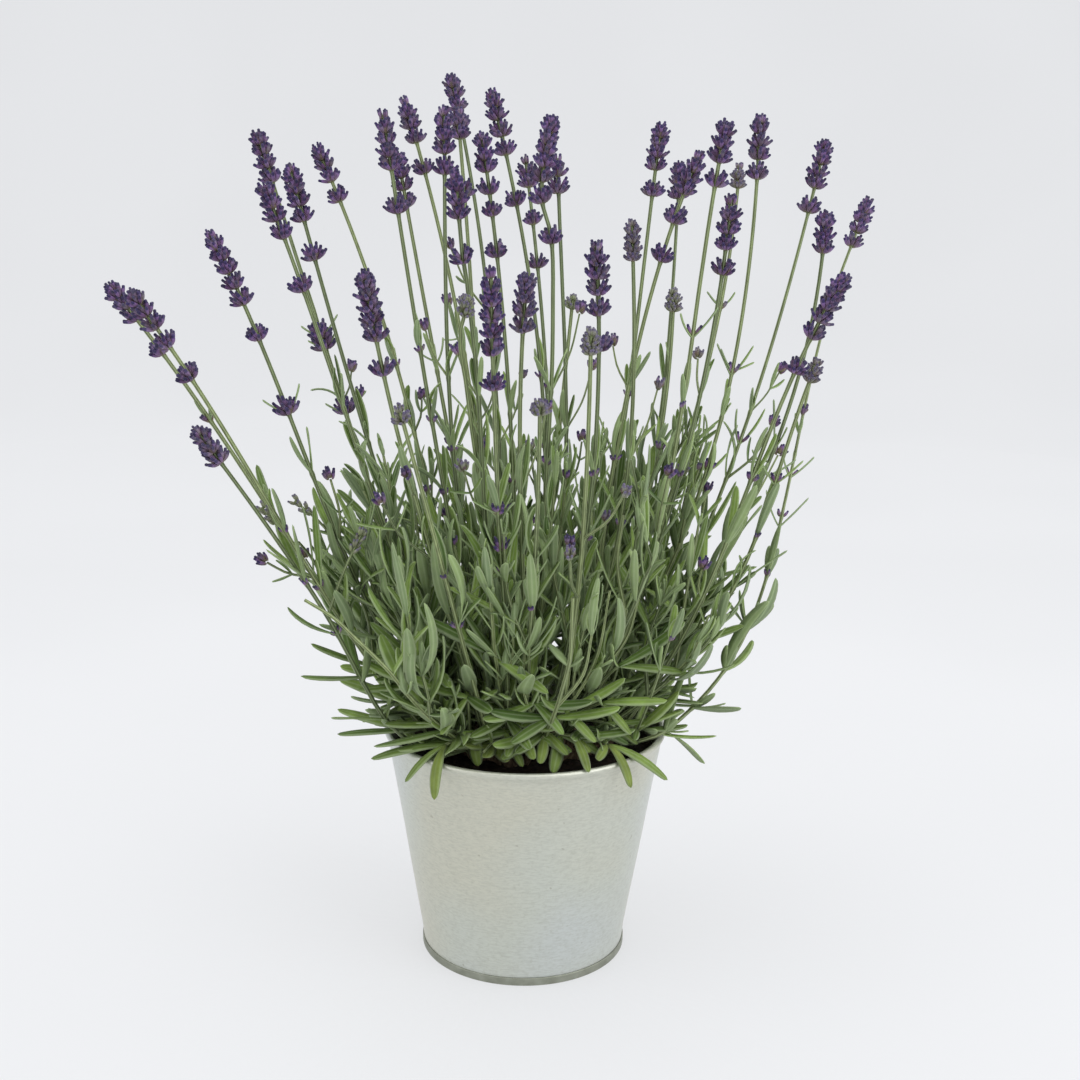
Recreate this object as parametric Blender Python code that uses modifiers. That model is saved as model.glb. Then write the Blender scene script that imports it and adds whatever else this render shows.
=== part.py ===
"""A lavender plant in a tapered zinc pot, standing on its foot seam.

Metres, +Z up. The origin is the middle of the circle that the pot stands on. Heights and lengths in
the tables are in millimetres. The pot is turned sheet metal, filled with soil. The plant grows from a
low woody crown: long flower stems with whorls of buds, and short leafy shoots between them.
"""

import math
import random

import bmesh
import bpy
from mathutils import Matrix, Vector, noise
from mathutils.bvhtree import BVHTree
from mathutils.kdtree import KDTree

MM = 0.001
GAP = 0.35 * MM

# Pot: outer sizes, then the sheet and its rolled edges.
RIM_RADIUS = 62.5 * MM
FOOT_RADIUS = 46.0 * MM
POT_HEIGHT = 104.0 * MM
SHEET = 0.5 * MM
ROLL_HEIGHT = 2.6 * MM
ROLL_WIDTH = 1.8 * MM
SEAM_HEIGHT = 3.6 * MM
RECESS = 2.4 * MM
TURN_STEPS = 40

# Soil and crown.
SOIL_TOP = 93.0 * MM
SOIL_CROWN = 1.5 * MM
CROWN_RADIUS = 46.0 * MM
CROWN_HEIGHT = 12.0 * MM
CROWN_LUMP = 0.09

# Stems.
STEM_RADIUS = 1.1 * MM
WHORL_RADIUS = 4.8 * MM
BUD_RADIUS = 3.0 * MM
PAIR_RADIUS = 2.2 * MM
WHORL_HALF_HEIGHT = 2.6 * MM
HEAD_TAPER = 1.2
STALK_SEGMENTS = 6
BEND_STEPS = 60
ROOT_SPREAD = 0.3
ROOT_SPACING = 7.0 * MM
ROOT_LIFT = 1.2 * MM

# How stalks make room for each other.
ROOT_ROUNDS = 60
SAMPLE_STEP = 2.0 * MM
CLEARANCE = 0.8 * MM
SLACK = 0.1 * MM
PUSH_ROUNDS = 400
PUSH_MOST = 1.0 * MM
FARTHEST_WHORL = 60

# Leaves.
LEAF_HALF_WIDTH = 2.2 * MM
LEAF_HALF_THICKNESS = 0.45 * MM
SHOOT_RADIUS = 1.3 * MM
LEAF_PAIRS = 5
LEAF_TRIES = 60
LEAF_SEED = 5
LEAF_TWIST = 0.6
LEAF_RISE = (0.65, 1.15)
LEAF_LENGTH = (38.0 * MM, 48.0 * MM)
LEAF_SAG = 0.2
LEAF_INSET = 1.0 * MM
LEAF_OUTLINE = (0.4, 0.9, 1.0, 0.15)
FULL_LEAN = 60.0
NEIGHBOURS = [(i, j, k) for i in (-1, 0, 1) for j in (-1, 0, 1) for k in (-1, 0, 1)]

# Flower stems: tip x, y, z; how far the middle bows towards +X; how many degrees the head leans towards
# +X; head length; kind of head; distances from the tip of the whorls that stand apart below the head.
FLOWER_STEMS = (
    (-161, -55, 299, -4, -36, 18, "full", (33, 65)),
    (-148, -75, 298, -7, -33, 18, "full", (25, 40)),
    (-125, -40, 319, -9, -25, 32, "full", (46, 78)),
    (-115, 15, 358, 0, -17, 16, "full", (21, 88)),
    (-105, -30, 337, -3, -20, 16, "full", (22, 44)),
    (-98, -10, 345, -3, -14, 18, "full", (23, 39)),
    (-94, 40, 354, 7, -25, 18, "full", (26,)),
    (-60, -85, 307, 0, -6, 22, "full", (27, 41)),
    (-59, -20, 366, -1, -8, 24, "full", (40,)),
    (-58, 35, 351, 3, -10, 17, "full", (23,)),
    (-57, 55, 375, 8, -18, 15, "full", (20, 34)),
    (-37, 70, 386, 5, -14, 17, "full", (24,)),
    (-35, -10, 368, -9, 0, 19, "full", (26,)),
    (-32, 30, 370, -2, -6, 14, "full", (37,)),
    (-29, -50, 343, 0, -5, 14, "full", (18, 35)),
    (-18, 40, 378, 14, -15, 14, "full", (20, 28, 50)),
    (-21, 10, 359, 4, -9, 17, "full", (25, 34, 51)),
    (8, -35, 364, 0, 10, 26, "full", (33, 49)),
    (11, 20, 351, 11, -2, 10, "full", (16,)),
    (-3, 75, 351, 8, -8, 15, "full", (31, 51)),
    (-14, -98, 309, 0, -1, 21, "full", (26, 33, 47, 100)),
    (-1, -80, 306, 0, 5, 17, "full", (22,)),
    (-25, -45, 297, 0, -2, 10, "bud", ()),
    (19, 25, 293, -2, 5, 8, "bud", ()),
    (24, -75, 318, 6, -5, 15, "full", (20, 28, 42)),
    (22, -95, 289, 3, -1, 12, "bud", ()),
    (40, -25, 326, 13, -4, 18, "bud", ()),
    (56, 35, 365, 8, 7, 21, "full", (31,)),
    (68, -15, 352, -1, 22, 19, "full", (30, 46)),
    (67, 60, 349, 14, 3, 17, "full", (25,)),
    (74, -45, 362, 14, 9, 16, "full", (24,)),
    (96, 20, 368, 17, 0, 14, "full", (18, 26, 108)),
    (95, 70, 350, 6, 3, 13, "bud", (67,)),
    (79, -30, 335, 8, 3, 16, "full", (21, 31)),
    (130, 50, 359, 9, 12, 17, "full", (21, 32)),
    (123, 5, 329, 12, 0, 13, "full", (17,)),
    (160, 92, 334, 0, 26, 18, "full", (24,)),
    (122, -50, 306, 11, 28, 22, "full", (28, 43)),
    (63, 30, 296, 8, 0, 12, "bud", ()),
    (119, -20, 271, 20, 20, 12, "bud", ()),
    (-129, -60, 245, 0, -34, 13, "full", (17,)),
    (-47, -100, 261, 0, -12, 9, "bud", ()),
    (4, -95, 263, 0, -1, 8, "bud", ()),
)

# Places that a flower stem with more than one bend passes, from its root up, by the stem's number.
STEM_WAYS = {
    18: ((9, -31, 258), (9, -34, 300), (8, -35, 318), (4, -36, 334)),
    37: (
        (50, -24, 103),
        (62, -18, 109),
        (77, -8, 118),
        (93, 5, 135),
        (105, 18, 157),
        (115, 34, 187),
        (139, 76, 277),
    ),
    41: ((-52, -29, 107), (-63, -35, 124), (-81, -42, 163), (-103, -49, 202)),
}

# Stems that leave the crown at its very edge, towards their first place.
WIDE_STEMS = (37, 41)

# Leafy shoots: compass direction in degrees, lean from upright, length.
LEAFY_SHOOTS = (
    (10, 42, 74),
    (38, 28, 112),
    (62, 44, 74),
    (95, 30, 106),
    (122, 46, 74),
    (150, 32, 104),
    (178, 42, 76),
    (205, 30, 102),
    (232, 46, 72),
    (258, 28, 96),
    (284, 39, 72),
    (312, 30, 100),
    (340, 44, 74),
)


def remove_everything():
    for obj in list(bpy.data.objects):
        bpy.data.objects.remove(obj, do_unlink=True)


def new_collection(name):
    collection = bpy.data.collections.new(name)
    bpy.context.scene.collection.children.link(collection)
    return collection


def new_material(name, colour, roughness, metallic=0.0):
    material = bpy.data.materials.new(name)
    material.use_nodes = True
    shader = material.node_tree.nodes["Principled BSDF"]
    shader.inputs["Base Color"].default_value = (*colour, 1.0)
    shader.inputs["Roughness"].default_value = roughness
    shader.inputs["Metallic"].default_value = metallic
    return material


def place(name, data, collection, material=None):
    obj = bpy.data.objects.new(name, data)
    collection.objects.link(obj)
    if material:
        data.materials.append(material)
    return obj


def turned(name, profile, collection, material):
    """A body turned round Z from a profile of (radius, height) points, outer side downwards."""
    mesh = bpy.data.meshes.new(name)
    points = [(radius, 0.0, height) for radius, height in profile]
    edges = [(i, i + 1) for i in range(len(points) - 1)]
    on_axis = profile[0][0] == 0.0
    if not on_axis:
        edges.append((len(points) - 1, 0))
    mesh.from_pydata(points, edges, [])
    obj = place(name, mesh, collection, material)
    screw = obj.modifiers.new("turn", "SCREW")
    screw.axis = "Z"
    screw.steps = TURN_STEPS
    screw.render_steps = TURN_STEPS
    screw.use_merge_vertices = True
    screw.merge_threshold = 0.00001
    screw.use_smooth_shade = True
    return obj


def wall_radius(height):
    """Outer radius of the pot wall, which tapers in a straight line above its foot seam."""
    top = RIM_RADIUS - ROLL_WIDTH + SHEET
    bottom = FOOT_RADIUS - SHEET - GAP
    share = (height - SEAM_HEIGHT) / (POT_HEIGHT - ROLL_HEIGHT - SEAM_HEIGHT)
    return bottom + (top - bottom) * max(0.0, share)


def make_pot_wall(collection, material):
    roll = RIM_RADIUS - ROLL_WIDTH / 2
    middle = POT_HEIGHT - ROLL_HEIGHT / 2
    outline = []
    for turn in (120, 75, 30, -30, -75):
        angle = math.radians(turn)
        outline.append((
            roll + ROLL_WIDTH / 2 * math.cos(angle) / math.cos(math.radians(30)),
            middle + ROLL_HEIGHT / 2 * math.sin(angle) / math.sin(math.radians(75)),
        ))
    lower = SHEET + GAP
    shoulder = POT_HEIGHT - ROLL_HEIGHT
    profile = outline + [
        (wall_radius(shoulder), shoulder - SHEET),
        (wall_radius(SEAM_HEIGHT), SEAM_HEIGHT),
        (wall_radius(lower), lower),
        (wall_radius(lower) - SHEET, lower),
        (wall_radius(SEAM_HEIGHT) - SHEET, SEAM_HEIGHT),
        (wall_radius(shoulder) - SHEET, shoulder),
    ]
    return turned("pot_wall", profile, collection, material)


def make_pot_base(collection, material):
    """The disc, with a channel folded round the wall's lower edge."""
    upstand = wall_radius(0.0) - SHEET - GAP
    profile = [
        (0.0, RECESS + SHEET),
        (upstand, RECESS + SHEET),
        (upstand, SHEET),
        (FOOT_RADIUS - SHEET, SHEET),
        (FOOT_RADIUS - SHEET, SEAM_HEIGHT),
        (FOOT_RADIUS, SEAM_HEIGHT),
        (FOOT_RADIUS, 0.0),
        (upstand - SHEET, 0.0),
        (upstand - SHEET, RECESS),
        (0.0, RECESS),
    ]
    return turned("pot_base", profile, collection, material)


def make_soil(collection, material):
    bottom = RECESS + SHEET + GAP
    clearance = SHEET + GAP + 0.05 * MM
    edge_top = SOIL_TOP - SOIL_CROWN
    profile = [
        (0.0, SOIL_TOP),
        (CROWN_RADIUS, SOIL_TOP),
        (wall_radius(edge_top) - clearance, edge_top),
        (wall_radius(SEAM_HEIGHT) - clearance, SEAM_HEIGHT),
        (wall_radius(bottom) - clearance, bottom),
        (0.0, bottom),
    ]
    return turned("potting_soil", profile, collection, material)


def make_crown(collection, material):
    """A low lumpy dome of old wood that sits on the soil."""
    shape = bmesh.new()
    bmesh.ops.create_icosphere(shape, subdivisions=3, radius=1.0)
    everything = shape.verts[:] + shape.edges[:] + shape.faces[:]
    bmesh.ops.bisect_plane(shape, geom=everything, plane_co=(0, 0, 0), plane_no=(0, 0, -1), clear_outer=True)
    rim = [edge for edge in shape.edges if edge.is_boundary]
    for vert in shape.verts:
        lump = 1.0 + CROWN_LUMP * noise.noise(vert.co * 3.0)
        height = SOIL_TOP + GAP + vert.co.z * lump * CROWN_HEIGHT
        vert.co = Vector((vert.co.x, vert.co.y, 0.0)) * lump * CROWN_RADIUS + Vector((0, 0, height))
    bmesh.ops.holes_fill(shape, edges=rim)
    bmesh.ops.recalc_face_normals(shape, faces=shape.faces)
    mesh = bpy.data.meshes.new("woody_crown")
    shape.to_mesh(mesh)
    shape.free()
    mesh.set_sharp_from_angle(angle=math.radians(40))
    return place("woody_crown", mesh, collection, material)


class Growth:
    """One stalk: points from its root to its tip, with the radius of the tube at each."""

    def __init__(self, name, points, radii):
        self.name = name
        self.points = points
        self.radii = radii

    def samples(self):
        """Close-set (position, radius, segment, share along it) along the stalk."""
        for i, (start, end) in enumerate(zip(self.points, self.points[1:])):
            count = max(1, math.ceil((end - start).length / SAMPLE_STEP))
            for k in range(count):
                t = k / count
                yield start.lerp(end, t), self.radii[i] * (1 - t) + self.radii[i + 1] * t, i, t


def bent_line(start, middle, end):
    """A smooth bend from start to end, as close-set points with their distance from the end."""
    points = []
    for k in range(BEND_STEPS + 1):
        t = k / BEND_STEPS
        points.append(end * (1 - t) ** 2 + middle * (2 * t * (1 - t)) + start * t**2)
    return measured(points)


def measured(points):
    """Points with the distance of each along them from the first."""
    distances = [0.0]
    for a, b in zip(points, points[1:]):
        distances.append(distances[-1] + (b - a).length)
    return points, distances


def arched_line(start, end, bow, lean):
    """A line from start to end that bows towards +X and leans towards +X at its end, given like bent_line."""
    slope = (end.y - start.y) / (end.z - start.z)
    arrival = Vector((math.tan(math.radians(lean)), slope, 1.0)).normalized()
    low = start.lerp(end, 1 / 3) + Vector((2 * bow * MM, 0, 0))
    high = end - arrival * ((end - start).length / 3)
    points = []
    for k in range(BEND_STEPS + 1):
        t = k / BEND_STEPS
        ends = end * (1 - t) ** 3 + start * t**3
        points.append(ends + high * (3 * t * (1 - t) ** 2) + low * (3 * t**2 * (1 - t)))
    return measured(points)


def threaded_line(places):
    """A smooth line through places, the last one first, given like bent_line."""
    _, along = measured(places)
    ends = range(len(places))
    slopes = []
    for i in ends:
        a, b = max(i - 1, 0), min(i + 1, ends[-1])
        slopes.append((places[b] - places[a]) / (along[b] - along[a]))
    points = [places[-1]]
    for i in reversed(ends[:-1]):
        h = along[i + 1] - along[i]
        for k in range(1, BEND_STEPS + 1):
            t = 1 - k / BEND_STEPS
            point = places[i] * (2 * t**3 - 3 * t**2 + 1) + places[i + 1] * (3 * t**2 - 2 * t**3)
            point += slopes[i] * (h * (t**3 - 2 * t**2 + t)) + slopes[i + 1] * (h * (t**3 - t**2))
            points.append(point)
    return measured(points)


def point_at(line, distance):
    """The place on a bent line at a distance from its end."""
    points, distances = line
    for i in range(len(points) - 1):
        if distances[i + 1] >= distance:
            break
    share = (distance - distances[i]) / (distances[i + 1] - distances[i])
    return points[i].lerp(points[i + 1], min(share, 1.0))


def head_profile(head, kind, whorls):
    """(distance from the tip, radius) down a flower stem, over its head and the whorls below."""
    fat = WHORL_RADIUS if kind == "full" else BUD_RADIUS
    profile = [(0.0, 0.25 * fat), (0.18 * head, 0.75 * fat), (0.55 * head, fat), (0.9 * head, fat)]
    profile.append((head + HEAD_TAPER, STEM_RADIUS))
    for distance in whorls:
        fat = WHORL_RADIUS if distance < FARTHEST_WHORL else PAIR_RADIUS
        half = WHORL_HALF_HEIGHT / MM
        profile.append((distance - half, STEM_RADIUS))
        profile.append((distance - 0.2 * half, fat))
        profile.append((distance + half, STEM_RADIUS))
    return [(max(distance, 0.0) * MM, radius) for distance, radius in profile]


def flower_stem(index, root, row):
    x, y, z, bow, lean, head, kind, whorls = row
    tip = Vector((x, y, z)) * MM
    if index in STEM_WAYS:
        line = threaded_line([root, *(Vector(place) * MM for place in STEM_WAYS[index]), tip])
    else:
        line = arched_line(root, tip, bow, lean)
    length = line[1][-1]
    profile = head_profile(head, kind, whorls)
    below = (head + HEAD_TAPER) * MM
    segments = STALK_SEGMENTS + len(STEM_WAYS.get(index, ()))
    for k in range(1, segments + 1):
        distance = below + (length - below) * k / segments
        if all(abs(distance - whorl * MM) > 2 * WHORL_HALF_HEIGHT for whorl in whorls):
            profile.append((distance, STEM_RADIUS))
    profile.sort()
    points = [point_at(line, distance) for distance, _ in profile]
    radii = [radius for _, radius in profile]
    return Growth(f"flower_stem_{index:02d}", points[::-1], radii[::-1])


def leafy_stalk(index, root, row):
    compass, lean, length = row
    flat = Vector((math.cos(math.radians(compass)), math.sin(math.radians(compass)), 0.0))
    tilt = math.radians(lean)
    tip = root + (flat * math.sin(tilt) + Vector((0, 0, math.cos(tilt)))) * (length * MM)
    middle = root.lerp(tip, 0.5) + flat * (0.1 * length * MM)
    line = bent_line(root, middle, tip)
    points = [point_at(line, line[1][-1] * (1 - k / LEAF_PAIRS)) for k in range(LEAF_PAIRS + 1)]
    radii = [SHOOT_RADIUS] * LEAF_PAIRS + [SHOOT_RADIUS / 2]
    return Growth(f"leafy_shoot_{index:02d}", points, radii)


def spread_roots(wanted):
    """Moves roots that are too close apart, in plan, and keeps them on the crown."""
    roots = [point.copy() for point in wanted]
    limit = CROWN_RADIUS * 0.9
    for _ in range(ROOT_ROUNDS):
        for i, a in enumerate(roots):
            for b in roots[i + 1 :]:
                between = a - b
                short = ROOT_SPACING - between.length
                if short > 0:
                    push = between.normalized() * (short / 2)
                    a += push
                    b -= push
        for point in roots:
            if point.length > limit:
                point *= limit / point.length
    return roots


def keep_apart(growths):
    """Pushes stalks that touch aside, a little at a time, until each is clear of the others."""
    widest = max(max(growth.radii) for growth in growths)
    for _ in range(PUSH_ROUNDS):
        found = []
        for growth in growths:
            found += [(growth, *sample) for sample in growth.samples()]
        tree = KDTree(len(found))
        for i, sample in enumerate(found):
            tree.insert(sample[1], i)
        tree.balance()
        pushes = {growth.name: [Vector() for _ in growth.points] for growth in growths}
        touching = 0
        for growth, position, radius, segment, t in found:
            for other_position, j, distance in tree.find_range(position, radius + widest + CLEARANCE):
                short = radius + found[j][2] + CLEARANCE - distance
                if found[j][0] is growth or short <= 0:
                    continue
                touching += short > SLACK
                away = (position - other_position).normalized() * short
                away.z = 0.0
                moved = pushes[growth.name]
                moved[segment] += away * (1 - t)
                moved[segment + 1] += away * t
        if not touching:
            return
        for growth in growths:
            moved = pushes[growth.name]
            for i, point in enumerate(growth.points[1:], 1):
                nearby = moved[i - 1] + moved[i] * 2 + moved[min(i + 1, len(moved) - 1)]
                if nearby.length > PUSH_MOST * 4:
                    nearby *= PUSH_MOST * 4 / nearby.length
                point += nearby / 4
    raise RuntimeError(f"stalks still touch in {touching} places")


def tube(growth, collection, material=None):
    """The stalk as a mesh: a square section swept along its points, thicker at the whorls."""
    curve = bpy.data.curves.new(growth.name, "CURVE")
    curve.dimensions = "3D"
    curve.bevel_depth = 1.0
    curve.bevel_resolution = 0
    curve.use_fill_caps = True
    spline = curve.splines.new("POLY")
    spline.points.add(len(growth.points) - 1)
    for point, position, radius in zip(spline.points, growth.points, growth.radii):
        point.co = (*position, 1.0)
        point.radius = radius
    return as_mesh(growth.name, curve, collection, material)


def as_mesh(name, curve, collection, material=None):
    """Makes a curve a mesh object with its caps welded on."""
    drawn = place(name + "_curve", curve, collection)
    graph = bpy.context.evaluated_depsgraph_get()
    mesh = bpy.data.meshes.new_from_object(drawn.evaluated_get(graph))
    bpy.data.objects.remove(drawn, do_unlink=True)
    shape = bmesh.new()
    shape.from_mesh(mesh)
    bmesh.ops.remove_doubles(shape, verts=shape.verts, dist=0.00001)
    bmesh.ops.recalc_face_normals(shape, faces=shape.faces)
    shape.to_mesh(mesh)
    shape.free()
    mesh.name = name
    return place(name, mesh, collection, material)


def leaf_section(helpers):
    """The flat diamond that a leaf is swept from."""
    curve = bpy.data.curves.new("leaf_section", "CURVE")
    curve.dimensions = "2D"
    spline = curve.splines.new("POLY")
    corners = [(1, 0), (0, 1), (-1, 0), (0, -1)]
    spline.points.add(len(corners) - 1)
    for point, (across, up) in zip(spline.points, corners):
        point.co = (across * LEAF_HALF_WIDTH, up * LEAF_HALF_THICKNESS, 0.0, 1.0)
    spline.use_cyclic_u = True
    obj = place("leaf_section", curve, helpers)
    obj.hide_render = True
    obj.display_type = "WIRE"
    return obj


def leaf_spine(foot, along, compass, rise, length):
    """Four points of one leaf, which leaves its stalk at an angle and bends slightly down."""
    side = along.orthogonal().normalized()
    side.rotate(Matrix.Rotation(compass, 3, along))
    start = (side * math.cos(rise) + along * math.sin(rise)).normalized()
    end = (start - Vector((0, 0, LEAF_SAG))).normalized()
    third = length / 3
    first = foot + start * 0.4 * MM
    return [first, first + start * third, first + start * third * 2, first + (start + end) * third * 1.5]


class Room:
    """What is already there, as spheres sorted into cells, so that a leaf can look for a free place."""

    CELL = 8.0 * MM

    def __init__(self):
        self.cells = {}

    def key(self, point):
        return tuple(math.floor(value / self.CELL) for value in point)

    def fill(self, point, radius, owner):
        self.cells.setdefault(self.key(point), []).append((point, radius, owner))

    def is_free(self, point, radius, owner):
        home = self.key(point)
        for step in NEIGHBOURS:
            cell = tuple(a + b for a, b in zip(home, step))
            for other, other_radius, other_owner in self.cells.get(cell, ()):
                if other_owner != owner and (other - point).length < radius + other_radius + CLEARANCE:
                    return False
        return True


def leaf_samples(spine):
    """Points along a leaf, from where it has left its stalk."""
    for start, end in zip(spine, spine[1:]):
        steps = math.ceil((end - start).length / SAMPLE_STEP)
        for k in range(steps + 1):
            point = start.lerp(end, k / steps)
            if (point - spine[0]).length > SHOOT_RADIUS * 3:
                yield point


def grow_leaves(growth, room, solids, chance):
    """Spines of the leaves of one shoot: opposite pairs, each turned a quarter from the last."""
    spines = []
    for pair in range(1, LEAF_PAIRS + 1):
        foot = growth.points[pair]
        along = (foot - growth.points[pair - 1]).normalized()
        for side in (0, 1):
            for attempt in range(LEAF_TRIES):
                compass = math.pi * (pair / 2 + side) + chance.uniform(-1, 1) * LEAF_TWIST
                rise = chance.uniform(*LEAF_RISE)
                length = chance.uniform(*LEAF_LENGTH) * (1 - 0.5 * attempt / LEAF_TRIES)
                spine = leaf_spine(foot - along * LEAF_INSET, along, compass, rise, length)
                points = list(leaf_samples(spine))
                free = all(room.is_free(point, LEAF_HALF_WIDTH, growth.name) for point in points)
                if free and not any(near_solid(point, solids) for point in points):
                    spines.append(spine)
                    for point in points:
                        room.fill(point, LEAF_HALF_WIDTH, None)
                    break
    return spines


def near_solid(point, solids):
    return any(tree.find_nearest(point, LEAF_HALF_WIDTH + CLEARANCE)[0] for tree in solids)


def add_leaves(stalk, spines, section, helpers):
    """Joins the leaves of a shoot to its stalk."""
    curve = bpy.data.curves.new(stalk.name + "_leaves", "CURVE")
    curve.dimensions = "3D"
    curve.twist_mode = "Z_UP"
    curve.bevel_mode = "OBJECT"
    curve.bevel_object = section
    curve.use_fill_caps = True
    for spine in spines:
        spline = curve.splines.new("POLY")
        spline.points.add(len(spine) - 1)
        for point, position, share in zip(spline.points, spine, LEAF_OUTLINE):
            point.co = (*position, 1.0)
            point.radius = share
    leaves = as_mesh(stalk.name + "_leaves", curve, helpers)
    leaves.hide_render = True
    leaves.display_type = "WIRE"
    union = stalk.modifiers.new("leaves", "BOOLEAN")
    union.operation = "UNION"
    union.object = leaves
    union.use_self = True


def roots_on_crown(crown, graph, rows):
    """A root for each row, on the crown's surface: (point in plan) to (point just above the wood)."""
    tree = BVHTree.FromObject(crown, graph)
    placed = []
    for plan in spread_roots(rows):
        above = Vector((plan.x, plan.y, SOIL_TOP + 4 * CROWN_HEIGHT))
        hit, normal, _, _ = tree.ray_cast(above, Vector((0, 0, -1)))
        placed.append(hit + normal * ROOT_LIFT)
    return placed


def shoot_root(compass, lean):
    angle = math.radians(compass)
    reach = CROWN_RADIUS * lean / FULL_LEAN
    return Vector((math.cos(angle), math.sin(angle), 0.0)) * reach


def main():
    remove_everything()
    parts = new_collection("potted_lavender")
    helpers = new_collection("helpers")
    zinc = new_material("galvanised_zinc", (0.42, 0.45, 0.43), 0.45, 0.6)
    peat = new_material("potting_soil", (0.02, 0.014, 0.01), 0.95)
    wood = new_material("lavender_wood", (0.13, 0.09, 0.06), 0.85)
    green = new_material("stem_green", (0.22, 0.29, 0.12), 0.6)
    leaf = new_material("leaf_green", (0.14, 0.2, 0.11), 0.7)

    wall = make_pot_wall(parts, zinc)
    make_pot_base(parts, zinc)
    soil = make_soil(parts, peat)
    crown = make_crown(parts, wood)

    graph = bpy.context.evaluated_depsgraph_get()
    wanted = [Vector((x, y, 0.0)) * (MM * ROOT_SPREAD) for x, y, *_ in FLOWER_STEMS]
    for index in WIDE_STEMS:
        wanted[index - 1] = Vector(STEM_WAYS[index][0][:2]).to_3d() * MM
    wanted += [shoot_root(compass, lean) for compass, lean, _ in LEAFY_SHOOTS]
    roots = roots_on_crown(crown, graph, wanted)
    stems = [flower_stem(i + 1, root, row) for i, (root, row) in enumerate(zip(roots, FLOWER_STEMS))]
    rest = roots[len(FLOWER_STEMS) :]
    shoots = [leafy_stalk(i + 1, root, row) for i, (root, row) in enumerate(zip(rest, LEAFY_SHOOTS))]
    keep_apart(stems + shoots)

    room = Room()
    for growth in stems + shoots:
        for position, radius, _, _ in growth.samples():
            room.fill(position, radius, growth.name)
    solids = [BVHTree.FromObject(obj, graph) for obj in (wall, soil, crown)]
    section = leaf_section(helpers)
    chance = random.Random(LEAF_SEED)
    for growth in stems:
        tube(growth, parts, green)
    for growth in shoots:
        stalk = tube(growth, parts, leaf)
        add_leaves(stalk, grow_leaves(growth, room, solids, chance), section, helpers)


main()
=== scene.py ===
"""Looks of a potted lavender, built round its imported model: zinc pot, soil, old wood, flower stems, shoots.

Laid out as a Blender add-on and run as a script. Metres, +Z up, the front of the plant towards -Y.
"""

import math
import random

import bpy
import numpy as np
from bpy.props import FloatProperty, FloatVectorProperty, IntProperty, PointerProperty
from mathutils import Matrix, Vector, noise


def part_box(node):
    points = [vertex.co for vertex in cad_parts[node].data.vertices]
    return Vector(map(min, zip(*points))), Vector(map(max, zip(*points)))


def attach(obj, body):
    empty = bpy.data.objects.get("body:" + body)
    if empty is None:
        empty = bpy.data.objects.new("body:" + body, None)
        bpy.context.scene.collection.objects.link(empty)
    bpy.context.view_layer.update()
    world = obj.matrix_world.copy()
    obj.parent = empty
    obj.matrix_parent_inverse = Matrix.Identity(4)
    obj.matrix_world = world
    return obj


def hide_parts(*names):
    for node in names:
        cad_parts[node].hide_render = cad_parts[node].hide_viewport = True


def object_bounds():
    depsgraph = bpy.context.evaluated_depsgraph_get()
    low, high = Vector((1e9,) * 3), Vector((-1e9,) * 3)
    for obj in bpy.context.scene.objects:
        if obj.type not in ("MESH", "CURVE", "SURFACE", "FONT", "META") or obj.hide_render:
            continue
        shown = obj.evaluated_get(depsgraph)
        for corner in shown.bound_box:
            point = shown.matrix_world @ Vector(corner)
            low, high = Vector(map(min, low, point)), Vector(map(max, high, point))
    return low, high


bl_info = {
    "name": "Potted lavender",
    "version": (1, 0, 0),
    "blender": (4, 5, 0),
    "location": "3D View > Sidebar > Lavender",
    "description": "Makes the finished pieces of a lavender plant in a zinc pot",
    "category": "Object",
}

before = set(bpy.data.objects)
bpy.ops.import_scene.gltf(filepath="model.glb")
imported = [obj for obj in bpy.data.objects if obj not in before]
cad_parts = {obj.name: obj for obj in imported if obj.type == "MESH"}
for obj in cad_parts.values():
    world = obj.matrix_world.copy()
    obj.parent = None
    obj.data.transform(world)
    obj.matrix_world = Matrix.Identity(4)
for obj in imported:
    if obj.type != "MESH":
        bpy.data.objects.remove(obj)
CAD_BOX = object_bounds()

MM = 0.001
FLOWER_STEMS = sorted(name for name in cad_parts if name.startswith("flower_stem"))
LEAFY_SHOOTS = sorted(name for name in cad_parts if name.startswith("leafy_shoot"))
RIM_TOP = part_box("pot_wall")[1].z
RIM_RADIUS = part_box("pot_wall")[1].x
FOOT_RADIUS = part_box("pot_base")[1].x
SEAM_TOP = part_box("pot_base")[1].z
SOIL_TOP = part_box("potting_soil")[1].z
SOIL_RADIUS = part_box("potting_soil")[1].x


# ---------------------------------------------------------------- colours and materials


def linear(hex_colour):
    """An sRGB hex colour as linear red, green, blue and alpha."""
    channels = [int(hex_colour[i : i + 2], 16) / 255 for i in (1, 3, 5)]
    return [c / 12.92 if c <= 0.04045 else ((c + 0.055) / 1.055) ** 2.4 for c in channels] + [1.0]


def add_node(tree, kind, links=None, out=0, stops=(), **settings):
    """Adds a node with its settings, fills or links the inputs named in links, and returns one output.

    Hex colours may stand for colours; stops are the (place, hex colour) pairs of a colour ramp."""
    node = tree.nodes.new("ShaderNode" + kind)
    for name, value in settings.items():
        setattr(node, name, value)
    for name, value in (links or {}).items():
        if isinstance(value, bpy.types.NodeSocket):
            tree.links.new(value, node.inputs[name])
        else:
            node.inputs[name].default_value = linear(value) if isinstance(value, str) else value
    for extra in stops[2:]:
        node.color_ramp.elements.new(extra[0])
    for k, (place, colour) in enumerate(stops):
        node.color_ramp.elements[k].position = place
        node.color_ramp.elements[k].color = linear(colour)
    return node.outputs[out]


# A Mix node for two colours: what every one of them sets, and its sockets for the first and second colour.
BLEND = {"out": 2, "data_type": "RGBA"}
FIRST, SECOND = 6, 7


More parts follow.
